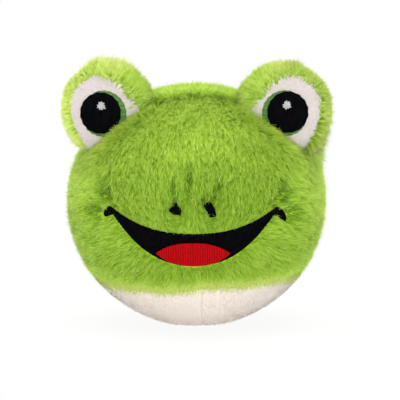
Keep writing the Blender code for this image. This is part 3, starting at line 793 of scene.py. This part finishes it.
def squeaker_material():
    """Moulded plastic with a fine grain."""
    material, tree, shader = new_material("squeaker_plastic", 0.35)
    colour = ramp(tree, ((0.2, (0.78, 0.78, 0.74)), (0.8, (0.88, 0.88, 0.86))), noise(tree, 120, 2))
    plug(tree, shader["Base Color"], colour)
    bump(tree, shader, noise(tree, 2500, 2), 0.1, 0.0001)
    return material


# Fur and pile: colours at the root, half way and at the tip, and the shares of them that the darkest
# and the lightest strands have. Darker towards the root: painted shade deep in the coat.
GREEN_FUR = strand_material(
    "green_fur",
    (0.245, 0.463, 0.016), (0.368, 0.612, 0.030), (0.57, 0.765, 0.115),
    (0.47, 0.59, 0.34), (1.36, 1.27, 1.6),
)
EDGE_FUR = strand_material(
    "edge_fur",
    (0.38, 0.54, 0.04), (0.52, 0.65, 0.10), (0.72, 0.77, 0.34),
    (0.78, 0.80, 0.74), (1.12, 1.10, 1.15),
)
# A lighter, paler-tipped copy of the green fur: painted light on the lobes' front, outer side and top
EYE_FUR_PAINTED_LIGHT = strand_material(
    "eye_fur",
    (0.35, 0.56, 0.025), (0.56, 0.775, 0.067), (0.87, 0.93, 0.34),
    (0.55, 0.64, 0.42), (1.16, 1.12, 1.25),
)
WHITE_PILE = strand_material(
    "white_pile",
    (0.93, 0.84, 0.76), (0.95, 0.86, 0.78), (0.97, 0.88, 0.80),
    (0.97, 0.97, 0.97), (1.02, 1.02, 1.02), 0.5, (1, 0.94, 0.87),
)
EYE_PILE = strand_material(
    "eye_pile",
    (0.635, 0.573, 0.545), (0.76, 0.693, 0.675), (0.863, 0.787, 0.80),
    (0.86, 0.84, 0.82), (1.06, 1.06, 1.07),
)
GREEN_SKIN = skin_material("green_backing", (0.26, 0.46, 0.02), (0.36, 0.58, 0.03), 900)
WHITE_SKIN = skin_material("white_backing", (0.90, 0.81, 0.73), (0.94, 0.85, 0.77), 1400)
EYE_SKIN = skin_material("eye_backing", (0.685, 0.613, 0.573), (0.79, 0.718, 0.678), 1400)
FIBRE = skin_material("fibre_filling", (0.74, 0.74, 0.72), (0.92, 0.92, 0.90), 600)
BLACK_THREAD = thread_material(
    "black_thread", (0.001, 0.001, 0.0013), (0.0032, 0.0032, 0.0045), 0.8, 700, (2, 2, 0.3), 0.01
)
RED_THREAD = thread_material(
    "red_thread", (0.33, 0.0013, 0.0033), (0.48, 0.0027, 0.0062), 0.7, 900, (2, 2, 0.4), 0.03, TONGUE_THREAD
)
GREEN_THREAD = thread_material(
    "green_thread", (0.030, 0.09, 0.020), (0.120, 0.24, 0.06), 0.6, 1200, (1, 1, 1), 0.1
)
WHITE_THREAD = thread_material(
    "white_thread", (0.28, 0.28, 0.28), (0.50, 0.50, 0.50), 0.6, 1500, (2, 2, 0.5), 0.1
)
SQUEAKER = squeaker_material()

# Skins under the pile


def ball_skins():
    """Closed parts of the ball's backing, one for each panel."""
    directions, faces = sphere_grid(*BALL_GRID)
    outer = skin_surface(directions)
    outer[:, 2] = np.maximum(outer[:, 2], FLOOR_Z + 0.0001)
    inner = outer - directions * SKIN_THICKNESS
    x, y, z = axes(outer[faces].mean(1))
    is_green = z > belly_line(x)
    is_face = y < seam_y(z)

    def panel(name, node, material, chosen):
        used, index = np.unique(faces[chosen], return_inverse=True)
        picked = index.reshape(-1, 3)
        count = len(used)
        edges = np.concatenate([picked[:, [0, 1]], picked[:, [1, 2]], picked[:, [2, 0]]])
        code = np.sort(edges, 1) @ np.array([count, 1])
        _, where, times = np.unique(code, return_index=True, return_counts=True)
        start, end = edges[where[times == 1]].T
        walls = [np.stack([end, start, start + count], 1), np.stack([end, start + count, end + count], 1)]
        everything = np.concatenate([picked, picked[:, ::-1] + count, *walls])
        points = np.concatenate([outer[used], inner[used]]) + BALL_MIDDLE
        dress(new_piece(name, points, everything, material), "ball", node)

    panel("face_skin", "face_panel", GREEN_SKIN, is_face & is_green)
    for name, side in SIDES.items():
        back = ~is_face & is_green & (side * x > 0)
        panel(f"back_skin_{name}", f"back_panel_{name}", GREEN_SKIN, back)
        belly = ~is_green & (side * (x - BELLY_SEAM_X) > 0)
        panel(f"belly_skin_{name}", f"belly_panel_{name}", WHITE_SKIN, belly)


# Fur of the ball


def face_comb(point):
    """Which way the fur is brushed: in towards the nose, out over the cheeks, down on the jaw."""
    x, y, z = axes(point)
    toward = unit(join(-x * 0.8, 0, -(z + 0.017)))
    corner = np.exp(-(((np.abs(x) - MOUTH_HALF_WIDTH - 0.004) / 0.006) ** 2) - ((z + 0.0025) / 0.006) ** 2)
    parted = 0.03 * corner * np.tanh((z + 0.0025) / 0.0012)
    falling = 0.024 * smooth((z - 0.002) / 0.014) + 0.008 * smooth((-0.012 - z) / 0.004)
    outward = unit(join(x, 0, parted - falling))
    down = unit(join(x * 0.5, 0, -0.03))
    back = unit(join(x * 0.3, 0.03, -0.02))
    corner_line = MOUTH_HALF_WIDTH + 0.0009 + np.clip(z, 0, 0.02) * 0.3
    cheek = smooth((np.abs(x) - corner_line) / (0.0025 + 0.02 * smooth(z / 0.014)) + 0.5)
    above = smooth((z - upper_lip(x)) / 0.002 + 0.5) * (1 - cheek)
    lower = unit(blend(outward, unit(outward + down), smooth((-0.012 - z) / 0.012)))
    behind = smooth((y - seam_y(z)) / 0.004 + 0.5)
    return unit(blend(unit(blend(lower, toward, above)), back, behind))


def near_lip(inside, reach, x, beyond):
    """How close to a lip a point outside the mouth lies, from 0 to 1."""
    return smooth((reach + inside) / reach) * (np.abs(x) < MOUTH_HALF_WIDTH + beyond) * (inside < 0)


def coat_field(near):
    """How the long green fur grows near points of the ball's surface."""
    direction = unit(near)
    normal = normals_of(ball_surface, direction)
    root = skin_surface(direction) - direction * 0.0002
    top = ball_surface(direction)
    x, y, z = axes(top)
    front = y < 0
    comb = face_comb(top)
    factor, lift = np.ones((2, len(root)))
    hollow, feet = np.zeros((2, len(root)))
    above_belly = z - belly_line(x)
    keep = z > belly_line(x) - 0.0025
    keep &= ~(front & (in_mouth(x, z, 0.0002) | in_stroke(x, z, 0.0002)))

    # Nostrils draw the fur in, the lips and the crown's seam press it down
    for side in SIDES.values():
        share = nostril_share(x, z, side)
        close = smooth((3.2 - share) / 2.4) * front
        hollow = np.maximum(hollow, smooth((2.6 - share) / 1.6) * front)
        pull = unit(join(side * NOSTRIL_SPACING / 2 - x, 0, -NOSTRIL_DROP - z))
        comb = unit(blend(comb, pull, close * 0.8))
        factor *= 1 - 0.2 * close
        keep &= ~(front & (shown_nostril(x, z, side) < 0.95))
    near_upper = near_lip(upper_lip(x) - z, 0.0045, x, 0.004) * front
    near_lower = near_lip(z - lower_lip(x), 0.004, x, 0.002) * front
    factor *= 1 - 0.55 * near_upper
    lift *= 1 - 0.35 * near_upper
    factor *= 1 - 0.3 * near_lower
    lift *= 1 - 0.35 * bell((y - seam_y(z)) / 0.003) * (z > 0.02)

    # It stands up before the lobes' feet and grows nowhere inside them
    tufts = drift(top, 0.0015, 12)[:, 0]
    for side_name in SIDES:
        across, depth, height = axes(world_to_eye(top + BALL_MIDDLE, side_name))
        foot = bell((depth + EYE_HALF_THICKNESS + 0.001) / 0.0035) * (depth < -0.003)
        foot = foot * smooth((0.018 - np.abs(across)) / 0.006) * smooth((height + 0.009) / 0.006)
        lift *= 1 - 0.6 * foot
        feet = np.maximum(feet, foot)
        factor *= 1 + foot * (0.10 + 0.15 * tufts)
        keep &= ~inside_eye(world_to_eye(root + BALL_MIDDLE, side_name), -0.0026)

    # Short at the belly's edge, where painted light makes it paler, short in folds and partings, long under
    # the right lobe
    low = smooth(above_belly / 0.007)
    fold = mouth_fold(x, y, z)
    covering = 0.75 * mouth_fold(*axes(top + comb * 0.004))
    parting = furrow(x, y, z)
    bulge = spots(direction, BULGE)
    factor = factor * (0.25 + 0.75 * low) * (1 - 0.62 * fold) * (1 + 1.2 * bulge) * (1 - 0.35 * parting)
    lift = lift * (1 + 0.6 * (1 - low)) * (1 - 0.4 * bulge)
    # Painted light and shade: the spots over the face, lighter at the belly's edge and before the lobes'
    # feet, darker in the mouth's folds and on hairs that lie over them, along the upper lip, round the
    # nostrils and in the partings
    painted_light_and_tone = spots(direction, PAINTED_LIGHT_SPOTS) + 0.2 * bell(above_belly / 0.006) - 0.7 * np.maximum(fold, covering)
    painted_light_and_tone = painted_light_and_tone - 0.15 * near_upper - 0.2 * hollow - 0.9 * parting + 0.35 * feet
    return root + BALL_MIDDLE, normal, comb, factor, lift, painted_light_and_tone, keep


def over_bare_face(tips):
    """Tips that would hang over the mouth, its corner strokes or the nostrils."""
    x, y, z = axes(tips - BALL_MIDDLE)
    flat = join(x, z, 0)
    ragged = 0.0004 * drift(flat, 0.0007, 13)[:, 0]
    bare = in_mouth(x, z, 1.6 * ragged - 0.0003) | in_stroke(x, z, 0.6 * ragged)
    edge = 0.85 + 0.4 * drift(flat, 0.0007, 9)[:, 0]
    for side in SIDES.values():
        bare |= shown_nostril(x, z, side) < edge
    return bare & (y < 0)


def ball_fur():
    rng = np.random.default_rng(11)
    seeds = sphere_seeds(rng, COAT_DENSITY)
    top = ball_surface(seeds)
    is_green = top[:, 2] > belly_line(top[:, 0]) + 0.0024 + 0.0006 * rng.normal(size=len(seeds))
    is_front = top[:, 1] < seam_y(top[:, 2])
    looks = ("ball", "green_plush", GREEN_FUR, coat_field)
    grow("face_fur", *looks, top[is_green & is_front], rng, LONG_LOOK, over_bare_face)
    for name, side in SIDES.items():
        grow(f"back_fur_{name}", *looks, top[is_green & ~is_front & (side * top[:, 0] > 0)], rng, LONG_LOOK)


def fringe():
    """Fine hairs that soften the green edge over the white belly."""
    rng = np.random.default_rng(17)
    top = ball_surface(sphere_seeds(rng, FRINGE_DENSITY))
    height = top[:, 2] - belly_line(top[:, 0])
    chosen = top[(height < 0.0042) & (rng.random(len(top)) < edge_share(height))]

    def field(near):
        direction = unit(near)
        comb = unit(join(near[:, 0] * 0.01, 0, -0.03))
        even = np.ones(len(near))
        root = skin_surface(direction) + BALL_MIDDLE
        return root, normals_of(ball_surface, direction), comb, even, even, 0.35 * even, even > 0

    grow("seam_fringe", "ball", "green_plush", EDGE_FUR, field, chosen, rng, FRINGE_LOOK)


def belly_pile():
    rng = np.random.default_rng(5)
    top = ball_surface(sphere_seeds(rng, BELLY_DENSITY))
    height = top[:, 2] - belly_line(top[:, 0])
    is_white = (rng.random(len(top)) > edge_share(height)) & (height < 0.0003)

    def field(near):
        direction = unit(near)
        root = skin_surface(direction)
        root[:, 2] = np.maximum(root[:, 2], FLOOR_Z + 0.0004)
        comb = unit(join(near[:, 0] * 0.2, -0.3, -1.0))
        seam = bell((near[:, 0] - BELLY_SEAM_X) / 0.0008)
        keep = root[:, 2] > FLOOR_Z + 0.0007
        normal = normals_of(ball_surface, direction)
        # Shorter along the belly's seam, with painted shade there
        return root + BALL_MIDDLE, normal, comb, 1 - 0.55 * seam, np.ones(len(near)), -0.3 * seam, keep

    chosen = top[is_white & (top[:, 2] > FLOOR_Z + 0.0009)]
    grow("belly_pile", "ball", "white_plush", WHITE_PILE, field, chosen, rng, PILE_LOOK)


# Sheets of stitching


def add_sheet(name, grid, place, front, thickness, material, body, node, to_world):
    """A closed sheet over a grid of shares; front gives y at x and z, minus a relief."""
    columns, rows = grid
    across, up = np.meshgrid(np.linspace(0, 1, columns + 1), np.linspace(0, 1, rows + 1))
    x, z, relief = place(across, up)
    outer = join(x, front(x, z) - relief, z).reshape(-1, 3)
    inner = outer + [0, thickness, 0]
    count = len(outer)
    index = np.arange(count).reshape(rows + 1, columns + 1)
    corners = (index[:-1, :-1], index[:-1, 1:], index[1:, 1:], index[1:, :-1])
    faces = np.stack([corner.ravel() for corner in corners], 1)
    rim = np.concatenate([index[0, :-1], index[:-1, -1], index[-1, :0:-1], index[:0:-1, 0]])
    after = np.roll(rim, -1)
    walls = np.stack([after, rim, rim + count, after + count], 1)
    everything = np.concatenate([faces, faces[:, ::-1] + count, walls])
    piece = new_piece(name, to_world(np.concatenate([outer, inner])), everything, material)
    dress(piece, body, node)


def ridges(position, pitch, height):
    """Rounded rows of thread side by side."""
    return height * np.sqrt(np.abs(np.sin(np.pi * position / pitch)))


def face_sheet(node, grid, place, sink, thickness, material):
    """Stitching on the ball's front, sunk under the tips of its pile."""

    def front(x, z):
        return ball_front(x, z, sink)

    def to_world(points):
        return points + BALL_MIDDLE

    add_sheet(f"{node}_stitching", grid, place, front, thickness, material, "ball", node, to_world)


def mouth():
    """The crescent, whose ends run out into the strokes at its corners over a last part of the grid."""
    ends = 0.04

    def place(across, up):
        spread = (2 * across - 1) * (1 + ends)
        x = (MOUTH_HALF_WIDTH - STROKE_WEB) * np.clip(spread, -1, 1)
        low = lower_lip(x)
        z = low + (upper_lip(x) - low) * up
        beyond = np.clip(np.abs(2 * across - 1) * (1 + ends) - 1, 0, ends) / ends
        side = np.sign(across - 0.5)
        head = np.array([MOUTH_HALF_WIDTH, -MOUTH_CORNER_DROP])
        foot = head + stroke_size(across - 0.5)[..., None] * [STROKE_RUN, -STROKE_DROP]
        line = foot + (head - foot) * up[..., None]
        swell = STROKE_WIDTH * np.sqrt(np.sin(np.pi * up)) * np.clip(beyond * 2 - 1, 0, 1)
        out = np.array([STROKE_DROP, STROKE_RUN]) / math.hypot(STROKE_DROP, STROKE_RUN)
        line = line + out * swell[..., None]
        share = np.clip(beyond * 2, 0, 1)
        x = np.where(beyond > 0, side * (np.abs(x) + (line[..., 0] - np.abs(x)) * share), x)
        z = np.where(beyond > 0, z + (line[..., 1] - z) * share, z)
        return x, z, ridges(x + 0.2 * z, MOUTH_THREAD, 0.00016)

    face_sheet("mouth", (520, 14), place, MOUTH_SINK, MOUTH_THICKNESS, BLACK_THREAD)


def tongue():
    def place(across, up):
        x = -TONGUE_HALF_WIDTH * np.cos(np.pi * across)
        out_share = (x / TONGUE_HALF_WIDTH) ** 2
        tip = lower_lip(np.full_like(x, TONGUE_HALF_WIDTH), TONGUE_MARGIN) + TONGUE_TIP_RISE
        low = lower_lip(x, TONGUE_MARGIN) - TONGUE_MARGIN * (1 - out_share) + TONGUE_TIP_RISE * out_share**2
        high = tip + 0.86 * TONGUE_ARCH * (1 - out_share**1.25) + TONGUE_MARGIN
        edge = np.minimum(np.minimum(up, 1 - up) * 6, 1)
        return x, low + (high - low) * up, ridges(x, TONGUE_THREAD, 0.0003) * edge + 0.0003 * np.sqrt(edge)

    face_sheet("tongue", (260, 16), place, TONGUE_SINK, FACE_THICKNESS, RED_THREAD)


def nostrils():
    for name, side in SIDES.items():

        def place(across, up):
            angle = np.pi * (2 * across - 1)
            reach = nostril_reach(angle, side) * 1.1 * up
            x = reach * np.cos(angle)
            z = reach * np.sin(angle) - NOSTRIL_DROP
            return side * NOSTRIL_SPACING / 2 + x, z, ridges(x, NOSTRIL_THREAD, 0.00015) * (1 - up**6)

        sink = NOSTRIL_SINK + 0.0002
        face_sheet(f"{name}_nostril", (40, 10), place, sink, FACE_THICKNESS, BLACK_THREAD)


# Eyes


def eye_sheet(side_name, part, grid, place, depth, thickness, material, slot, node_part, fill=None):
    """A sheet on a lobe's front, a depth below its surface."""

    def front(x, z):
        return eye_front(x, z, depth)

    def to_world(points):
        return eye_to_world(points, side_name)

    name, body, node = (f"{side_name}_{end}" for end in (part, "eye", node_part))
    add_sheet(name, grid, place, front, thickness, material, body, node, to_world)


def eye_discs(side_name, side):
    """Iris, pupil and highlight of an eye."""
    middle_x = side * PUPIL_SHIFT[side]

    def polar(reach, angle, x=middle_x, z=PUPIL_UP):
        return x + reach * np.cos(angle), z + reach * np.sin(angle)

    def iris_place(across, up):
        middle = -math.pi / 2 - side * IRIS_TURN[side]
        angle = middle - IRIS_HALF_TURN + 2 * IRIS_HALF_TURN * across
        near = PUPIL_RADIUS - 0.0002
        along = IRIS_DROP * np.cos(angle - middle)
        beside = IRIS_DROP * np.sin(angle - middle)
        ragged = RAGGED_EDGE * np.sin(angle * 53) * np.sin(angle * 29)
        far = np.sqrt(IRIS_RADIUS**2 - beside**2) + along + ragged
        reach = near + (np.maximum(far, near) - near) * up
        return *polar(reach, angle), ridges(angle * IRIS_RADIUS, EYE_THREAD, 0.00012)

    def pupil_place(across, up):
        angle = 2 * np.pi * across
        reach = (PUPIL_RADIUS + RAGGED_EDGE * np.sin(angle * 53) * np.sin(angle * 37 + side)) * up
        relief = ridges(reach * np.sin(angle), EYE_THREAD, 0.0001) + 0.0002 * (1 - up**8)
        return *polar(reach, angle), relief

    def highlight_place(across, up):
        angle = 2 * np.pi * across
        uneven = 0.05 * np.sin(angle * 3 + side) + 0.07 * np.sin(angle * 5 + 1) + 0.12 * np.sin(angle * 9)
        reach = HIGHLIGHT_RADIUS * (0.80 + uneven) * (1 + 0.12 * np.abs(np.sin(angle))) * up
        relief = ridges(reach * np.cos(angle), EYE_THREAD, 0.00015) + 0.0005 * (1 - up**6)
        return *polar(reach, angle, middle_x - side * HIGHLIGHT_INWARD, PUPIL_UP + HIGHLIGHT_UP), relief

    for part, grid, place, depth, material, slot in (
        ("iris", (320, 6), iris_place, 0.0, GREEN_THREAD, "green_thread"),
        ("pupil", (400, 16), pupil_place, -0.0001, BLACK_THREAD, "black_thread"),
        ("highlight", (90, 8), highlight_place, -0.0002, WHITE_THREAD, "white_thread"),
    ):
        eye_sheet(side_name, f"{part}_stitching", grid, place, depth, EYE_THICKNESS, material, slot, part)


def eye_shell(side_name, side):
    """The lobe's backing, one closed egg, and its white front as a piece of its own."""
    directions, faces = sphere_grid(*EYE_GRID)
    points = eye_to_world(eye_root(directions, side), side_name)
    egg = new_piece(f"{side_name}_eye_skin", points, faces, GREEN_SKIN)
    dress(egg, f"{side_name}_eye", f"{side_name}_eye_back")
    margin = 0.0004

    def place(across, up):
        x_share = -np.cos(np.pi * across)
        arch = (1 - np.abs(x_share) ** EYE_FULLNESS) ** (1 / EYE_FULLNESS)
        z = PATCH_FOOT + ((PATCH_TOP + margin) * arch - PATCH_FOOT) * up
        x = side * PATCH_SHIFT + (PATCH_HALF_WIDTH + margin) * x_share
        return x, z, -0.0006 * (1 - np.minimum(np.minimum(up, 1 - up) * 8, 1))

    looks = (EYE_SKIN, "white_plush", "eye_patch", EYE_FILL)
    eye_sheet(side_name, "eye_front", (64, 48), place, PATCH_DEPTH, PATCH_THICKNESS, *looks)


def eye_fur(side_name, side):
    rng = np.random.default_rng(20 + side)
    seeds = sphere_seeds(rng, EYE_DENSITY, EYE_AREA)
    turn = EYE_TURN[side_name]

    def over_patch(tips):
        own = world_to_eye(tips, side_name)
        edge = 0.98 + 0.03 * drift(own, 0.0010, 15)[:, 0]
        return (own[:, 1] < -0.001) & (patch_share(own, side) < edge) & (own[:, 2] > -0.002)

    def surface(direction):
        return eye_root(direction, side)

    def field(near):
        direction = unit(near)
        root = surface(direction)
        normal = normals_of(surface, direction)
        outer = eye_surface(direction)
        x, y, z = axes(outer)
        radial = unit(join(x - side * PUPIL_SHIFT[side], 0.002, z - PUPIL_UP))
        comb = unit(blend(radial, np.array([0, 0, -1]), smooth(y / 0.006)))
        share = patch_share(outer, side)
        front = y < -0.002
        keep = ~(front & (share < 0.98)) & (z > (-0.0058 if side > 0 else -0.004))

        # Shorter round the white front, over the crown and along the rim
        near_patch = smooth((1.5 - share) / 0.5) * front
        outside = smooth(side * x / 0.012 - 0.2)
        inner = smooth(-side * x / 0.010) * smooth((0.016 - z) / 0.008)
        crown = smooth((z - 0.009) / 0.010) * (1 - (1.0 if side < 0 else 0.2) * smooth(-side * x / 0.008))
        rim = bell(y / 0.0065) * smooth((z + 0.001) / 0.006)

        # Longer on the right one's outer side, shorter on the left one's
        factor = 1 + outside * (0.55 * smooth((0.010 - z) / 0.010) if side > 0 else -0.28)
        factor = factor * (1 - 0.1 * near_patch) * (1 - 0.38 * crown) * (1 - 0.17 * rim)
        lift = (1 + 0.15 * near_patch) * (1 - 0.45 * rim)
        # Painted light and shade: the left lobe lighter, more so on its outer side and less on its inner
        # side, the right lobe darker but lighter on its inner side, both darker round the white front
        if side > 0:
            painted_light_and_tone = 0.15 * inner - 0.12 - 0.15 * near_patch
        else:
            painted_light_and_tone = 0.1 - 0.15 * near_patch - 0.15 * inner + 0.3 * outside
        inward = (drift(root, 0.0004, 8)[:, 0] > 1.3) & front & (share < 1.06)
        comb = np.where(inward[:, None], -comb, comb)
        world_root = eye_to_world(root, side_name)
        from_middle = world_root - BALL_MIDDLE
        length = np.linalg.norm(from_middle, axis=-1)
        keep &= length > ball_reach(from_middle / length[:, None]) - 0.006
        return world_root, normal @ turn.T, comb @ turn.T, factor, lift, painted_light_and_tone, keep

    body = f"{side_name}_eye"
    x, y, z = axes(eye_surface(seeds))
    chance = rng.random(len(seeds))
    # The front, the outer side and the top take the lighter copy of the green fur, painted light; the back
    # and the lower inner side keep the green fur
    in_front = (-side * x < 0.004 + 0.010 * chance) | (z > 0.013 + 0.004 * chance)
    in_front &= y < 0.0015 + 0.0035 * chance
    grow(f"{body}_fur", body, "green_plush", EYE_FUR_PAINTED_LIGHT, field, seeds[in_front], rng, EYE_LOOK, over_patch)
    grow(f"{body}_back_fur", body, "green_plush", GREEN_FUR, field, seeds[~in_front], rng, EYE_BACK_LOOK)


def eye_pile(side_name, side):
    """Short white pile on the lobe's front, round the pupil and the iris."""
    rng = np.random.default_rng(40 + side)
    count = EYE_PILE_SEEDS
    depth = 0.0007
    step = 1e-4
    x = side * SHOWN_SHIFT + rng.uniform(-1, 1, count) * SHOWN_OUTER_WIDTH[side]
    z = rng.uniform(PATCH_FOOT, SHOWN_TOP, count)
    turn = EYE_TURN[side_name]

    def field(near):
        x, z = near[:, 0], near[:, 2]
        y = eye_front(x, z, depth)
        slope_x = (eye_front(x + step, z, depth) - y) / step
        slope_z = (eye_front(x, z + step, depth) - y) / step
        normal = unit(join(slope_x, -1, slope_z))
        root = join(x, y, z)
        out_x, out_z = x - side * PUPIL_SHIFT[side], z - PUPIL_UP
        comb = unit(join(out_x, 0, out_z))
        drop_x = -side * IRIS_DROP * math.sin(IRIS_TURN[side])
        drop_z = -IRIS_DROP * math.cos(IRIS_TURN[side])
        keep = (patch_share(root, side) < 1.0) & (np.hypot(out_x, out_z) > PUPIL_RADIUS + 0.0001)
        keep &= np.hypot(out_x - drop_x, out_z - drop_z) > IRIS_RADIUS + 0.0001
        even = np.ones(len(x))
        return eye_to_world(root, side_name), normal @ turn.T, comb @ turn.T, even, even, 0 * even, keep

    body = f"{side_name}_eye"
    grow(f"{body}_pile", body, "white_plush", EYE_PILE, field, join(x, 0, z), rng, EYE_PILE_LOOK)


def eyes():
    for side_name, side in SIDES.items():
        eye_shell(side_name, side)
        eye_discs(side_name, side)
        eye_fur(side_name, side)
        eye_pile(side_name, side)


# Inside


def fibre(node, body):
    """Loose filling in the space of a node: its surface drawn in and lumpy."""
    mesh = bpy.data.objects[node].data.copy()
    piece = link(f"{node}_fibre", mesh)
    mesh.materials.clear()
    mesh.materials.append(FIBRE)
    points, normal = np.empty((2, len(mesh.vertices) * 3), dtype=np.float32)
    mesh.vertices.foreach_get("co", points)
    mesh.vertices.foreach_get("normal", normal)
    points = points.reshape(-1, 3)
    lump = np.sin(points[:, 0] * 410) * np.sin(points[:, 1] * 370 + 1) * np.sin(points[:, 2] * 330 + 2)
    points -= normal.reshape(-1, 3) * (0.0004 + 0.0003 * lump)[:, None]
    mesh.vertices.foreach_set("co", points.ravel())
    mesh.update()
    dress(piece, body, node)


def inside():
    for node in ("filling_front", "filling_back"):
        fibre(node, "ball")
    for side_name in SIDES:
        fibre(f"{side_name}_eye_filling", f"{side_name}_eye")
    for node in ("squeaker_bulb", "squeaker_reed"):
        bpy.data.objects[node].material_slots[0].material = SQUEAKER


# Camera, lights and floor. The camera's shifts are in pixels

CAMERA_ELEVATION = math.radians(5.0)
CAMERA_AZIMUTH = math.radians(1.6)
CAMERA_DISTANCE = 0.75
CAMERA_SHIFT = (3.5, -3.2)
SENSOR_WIDTH = 36
PICTURE_PIXELS = 400
PIXEL_SIZE = 0.000397

# Light of the world at the horizon and from half way up. The floor's grey, the least share of plain
# white in it, and the share that the camera sees under the ball, which grows to all between two distances
HORIZON_LIGHT = 1.62
UPPER_LIGHT = 0.45
FLOOR_GREY = 0.95
FLOOR_GLOW = 0.5
SHADOW_GLOW = 0.88
SHADOW_FROM = 0.04
SHADOW_TO = 0.16

# Lamps: name, place, width, height and power
LAMPS = (
    ("key", (-0.35, -0.75, 0.6), 0.7, 0.7, 0.6),
    ("low", (0.05, -0.7, 0.025), 0.9, 0.04, 1.5),
    ("low_left", (-0.7, -0.15, 0.025), 0.5, 0.04, 0.6),
    ("low_right", (0.7, -0.15, 0.025), 0.5, 0.04, 0.7),
    ("top", (0.0, -0.2, 1.1), 1.2, 1.2, 12.0),
    ("rear_left", (-0.7, 0.7, 0.35), 0.7, 0.5, 1.6),
    ("rear_right", (0.7, 0.7, 0.35), 0.7, 0.5, 1.6),
)


def aim(thing, place, facing):
    thing.location = place
    thing.rotation_euler = facing.to_track_quat("-Z", "Y").to_euler()


def camera_and_lamps():
    target = Vector(BALL_MIDDLE)
    level = math.cos(CAMERA_ELEVATION)
    turn = CAMERA_AZIMUTH
    away = Vector((level * math.sin(turn), -level * math.cos(turn), math.sin(CAMERA_ELEVATION)))
    camera = bpy.data.cameras.new("camera")
    camera.sensor_width = SENSOR_WIDTH
    camera.lens = SENSOR_WIDTH * CAMERA_DISTANCE / (PICTURE_PIXELS * PIXEL_SIZE)
    camera.shift_x, camera.shift_y = (shift / PICTURE_PIXELS for shift in CAMERA_SHIFT)
    camera.clip_start = 0.01
    bpy.context.scene.camera = link("camera", camera)
    aim(bpy.context.scene.camera, target + away * CAMERA_DISTANCE, -away)
    for name, place, width, height, power in LAMPS:
        light = bpy.data.lights.new(name, "AREA")
        light.shape = "RECTANGLE"
        light.size = width
        light.size_y = height
        light.energy = power
        aim(link(name, light), place, target - Vector(place))


def world():
    """White where it is seen, and brighter at the horizon than above where it lights."""
    studio = bpy.data.worlds.new("studio")
    bpy.context.scene.world = studio
    studio.use_nodes = True
    tree = studio.node_tree
    path = add_node(tree, "LightPath").outputs
    seen = add_node(tree, "Math", {0: path["Is Camera Ray"], 1: path["Is Glossy Ray"]}, operation="MAXIMUM")
    also = add_node(tree, "Math", {0: seen.outputs[0], 1: path["Is Transmission Ray"]}, operation="MAXIMUM")
    direction = add_node(tree, "TexCoord").outputs["Generated"]
    up = add_node(tree, "SeparateXYZ", {"Vector": direction}).outputs["Z"]
    inputs = {"Value": up, "From Max": 0.5, "To Min": HORIZON_LIGHT, "To Max": UPPER_LIGHT}
    height = add_node(tree, "MapRange", inputs, interpolation_type="SMOOTHSTEP").outputs["Result"]
    level = add_node(tree, "Mix", {"Factor": also.outputs[0], "A": height, "B": 1.0}, data_type="FLOAT")
    background = tree.nodes["Background"].inputs
    plug(tree, background["Color"], (1, 1, 1, 1))
    plug(tree, background["Strength"], level.outputs["Result"])


def floor():
    """White ground that lights the belly from below and shows only a trace of the shadow."""
    mesh = bpy.data.meshes.new("floor")
    mesh.from_pydata([(-3, -3, 0), (3, -3, 0), (3, 3, 0), (-3, 3, 0)], [], [(0, 1, 2, 3)])
    ground = link("floor", mesh)
    material = bpy.data.materials.new("floor")
    material.use_nodes = True
    tree = material.node_tree
    tree.nodes.clear()
    diffuse = add_node(tree, "BsdfDiffuse", {"Color": (FLOOR_GREY, FLOOR_GREY, FLOOR_GREY, 1)})
    glow = add_node(tree, "Emission", {"Color": (1, 1, 1, 1)})
    reach = add_node(tree, "VectorMath", {0: object_place(tree)}, operation="LENGTH").outputs["Value"]
    inputs = {"Value": reach, "From Min": SHADOW_FROM, "From Max": SHADOW_TO, "To Min": SHADOW_GLOW}
    fade = add_node(tree, "MapRange", inputs).outputs["Result"]
    is_seen = add_node(tree, "LightPath").outputs["Is Camera Ray"]
    share = add_node(tree, "Math", {0: is_seen, 1: fade}, operation="MULTIPLY").outputs[0]
    share = add_node(tree, "Math", {0: share, 1: FLOOR_GLOW}, operation="MAXIMUM").outputs[0]
    mixed = add_node(tree, "MixShader", {0: share, 1: diffuse.outputs[0], 2: glow.outputs[0]})
    add_node(tree, "OutputMaterial", {"Surface": mixed.outputs[0]})
    mesh.materials.append(material)


camera_and_lamps()
world()
floor()
bpy.context.scene.view_settings.view_transform = "Standard"
ball_skins()
ball_fur()
fringe()
belly_pile()
mouth()
tongue()
nostrils()
eyes()
inside()
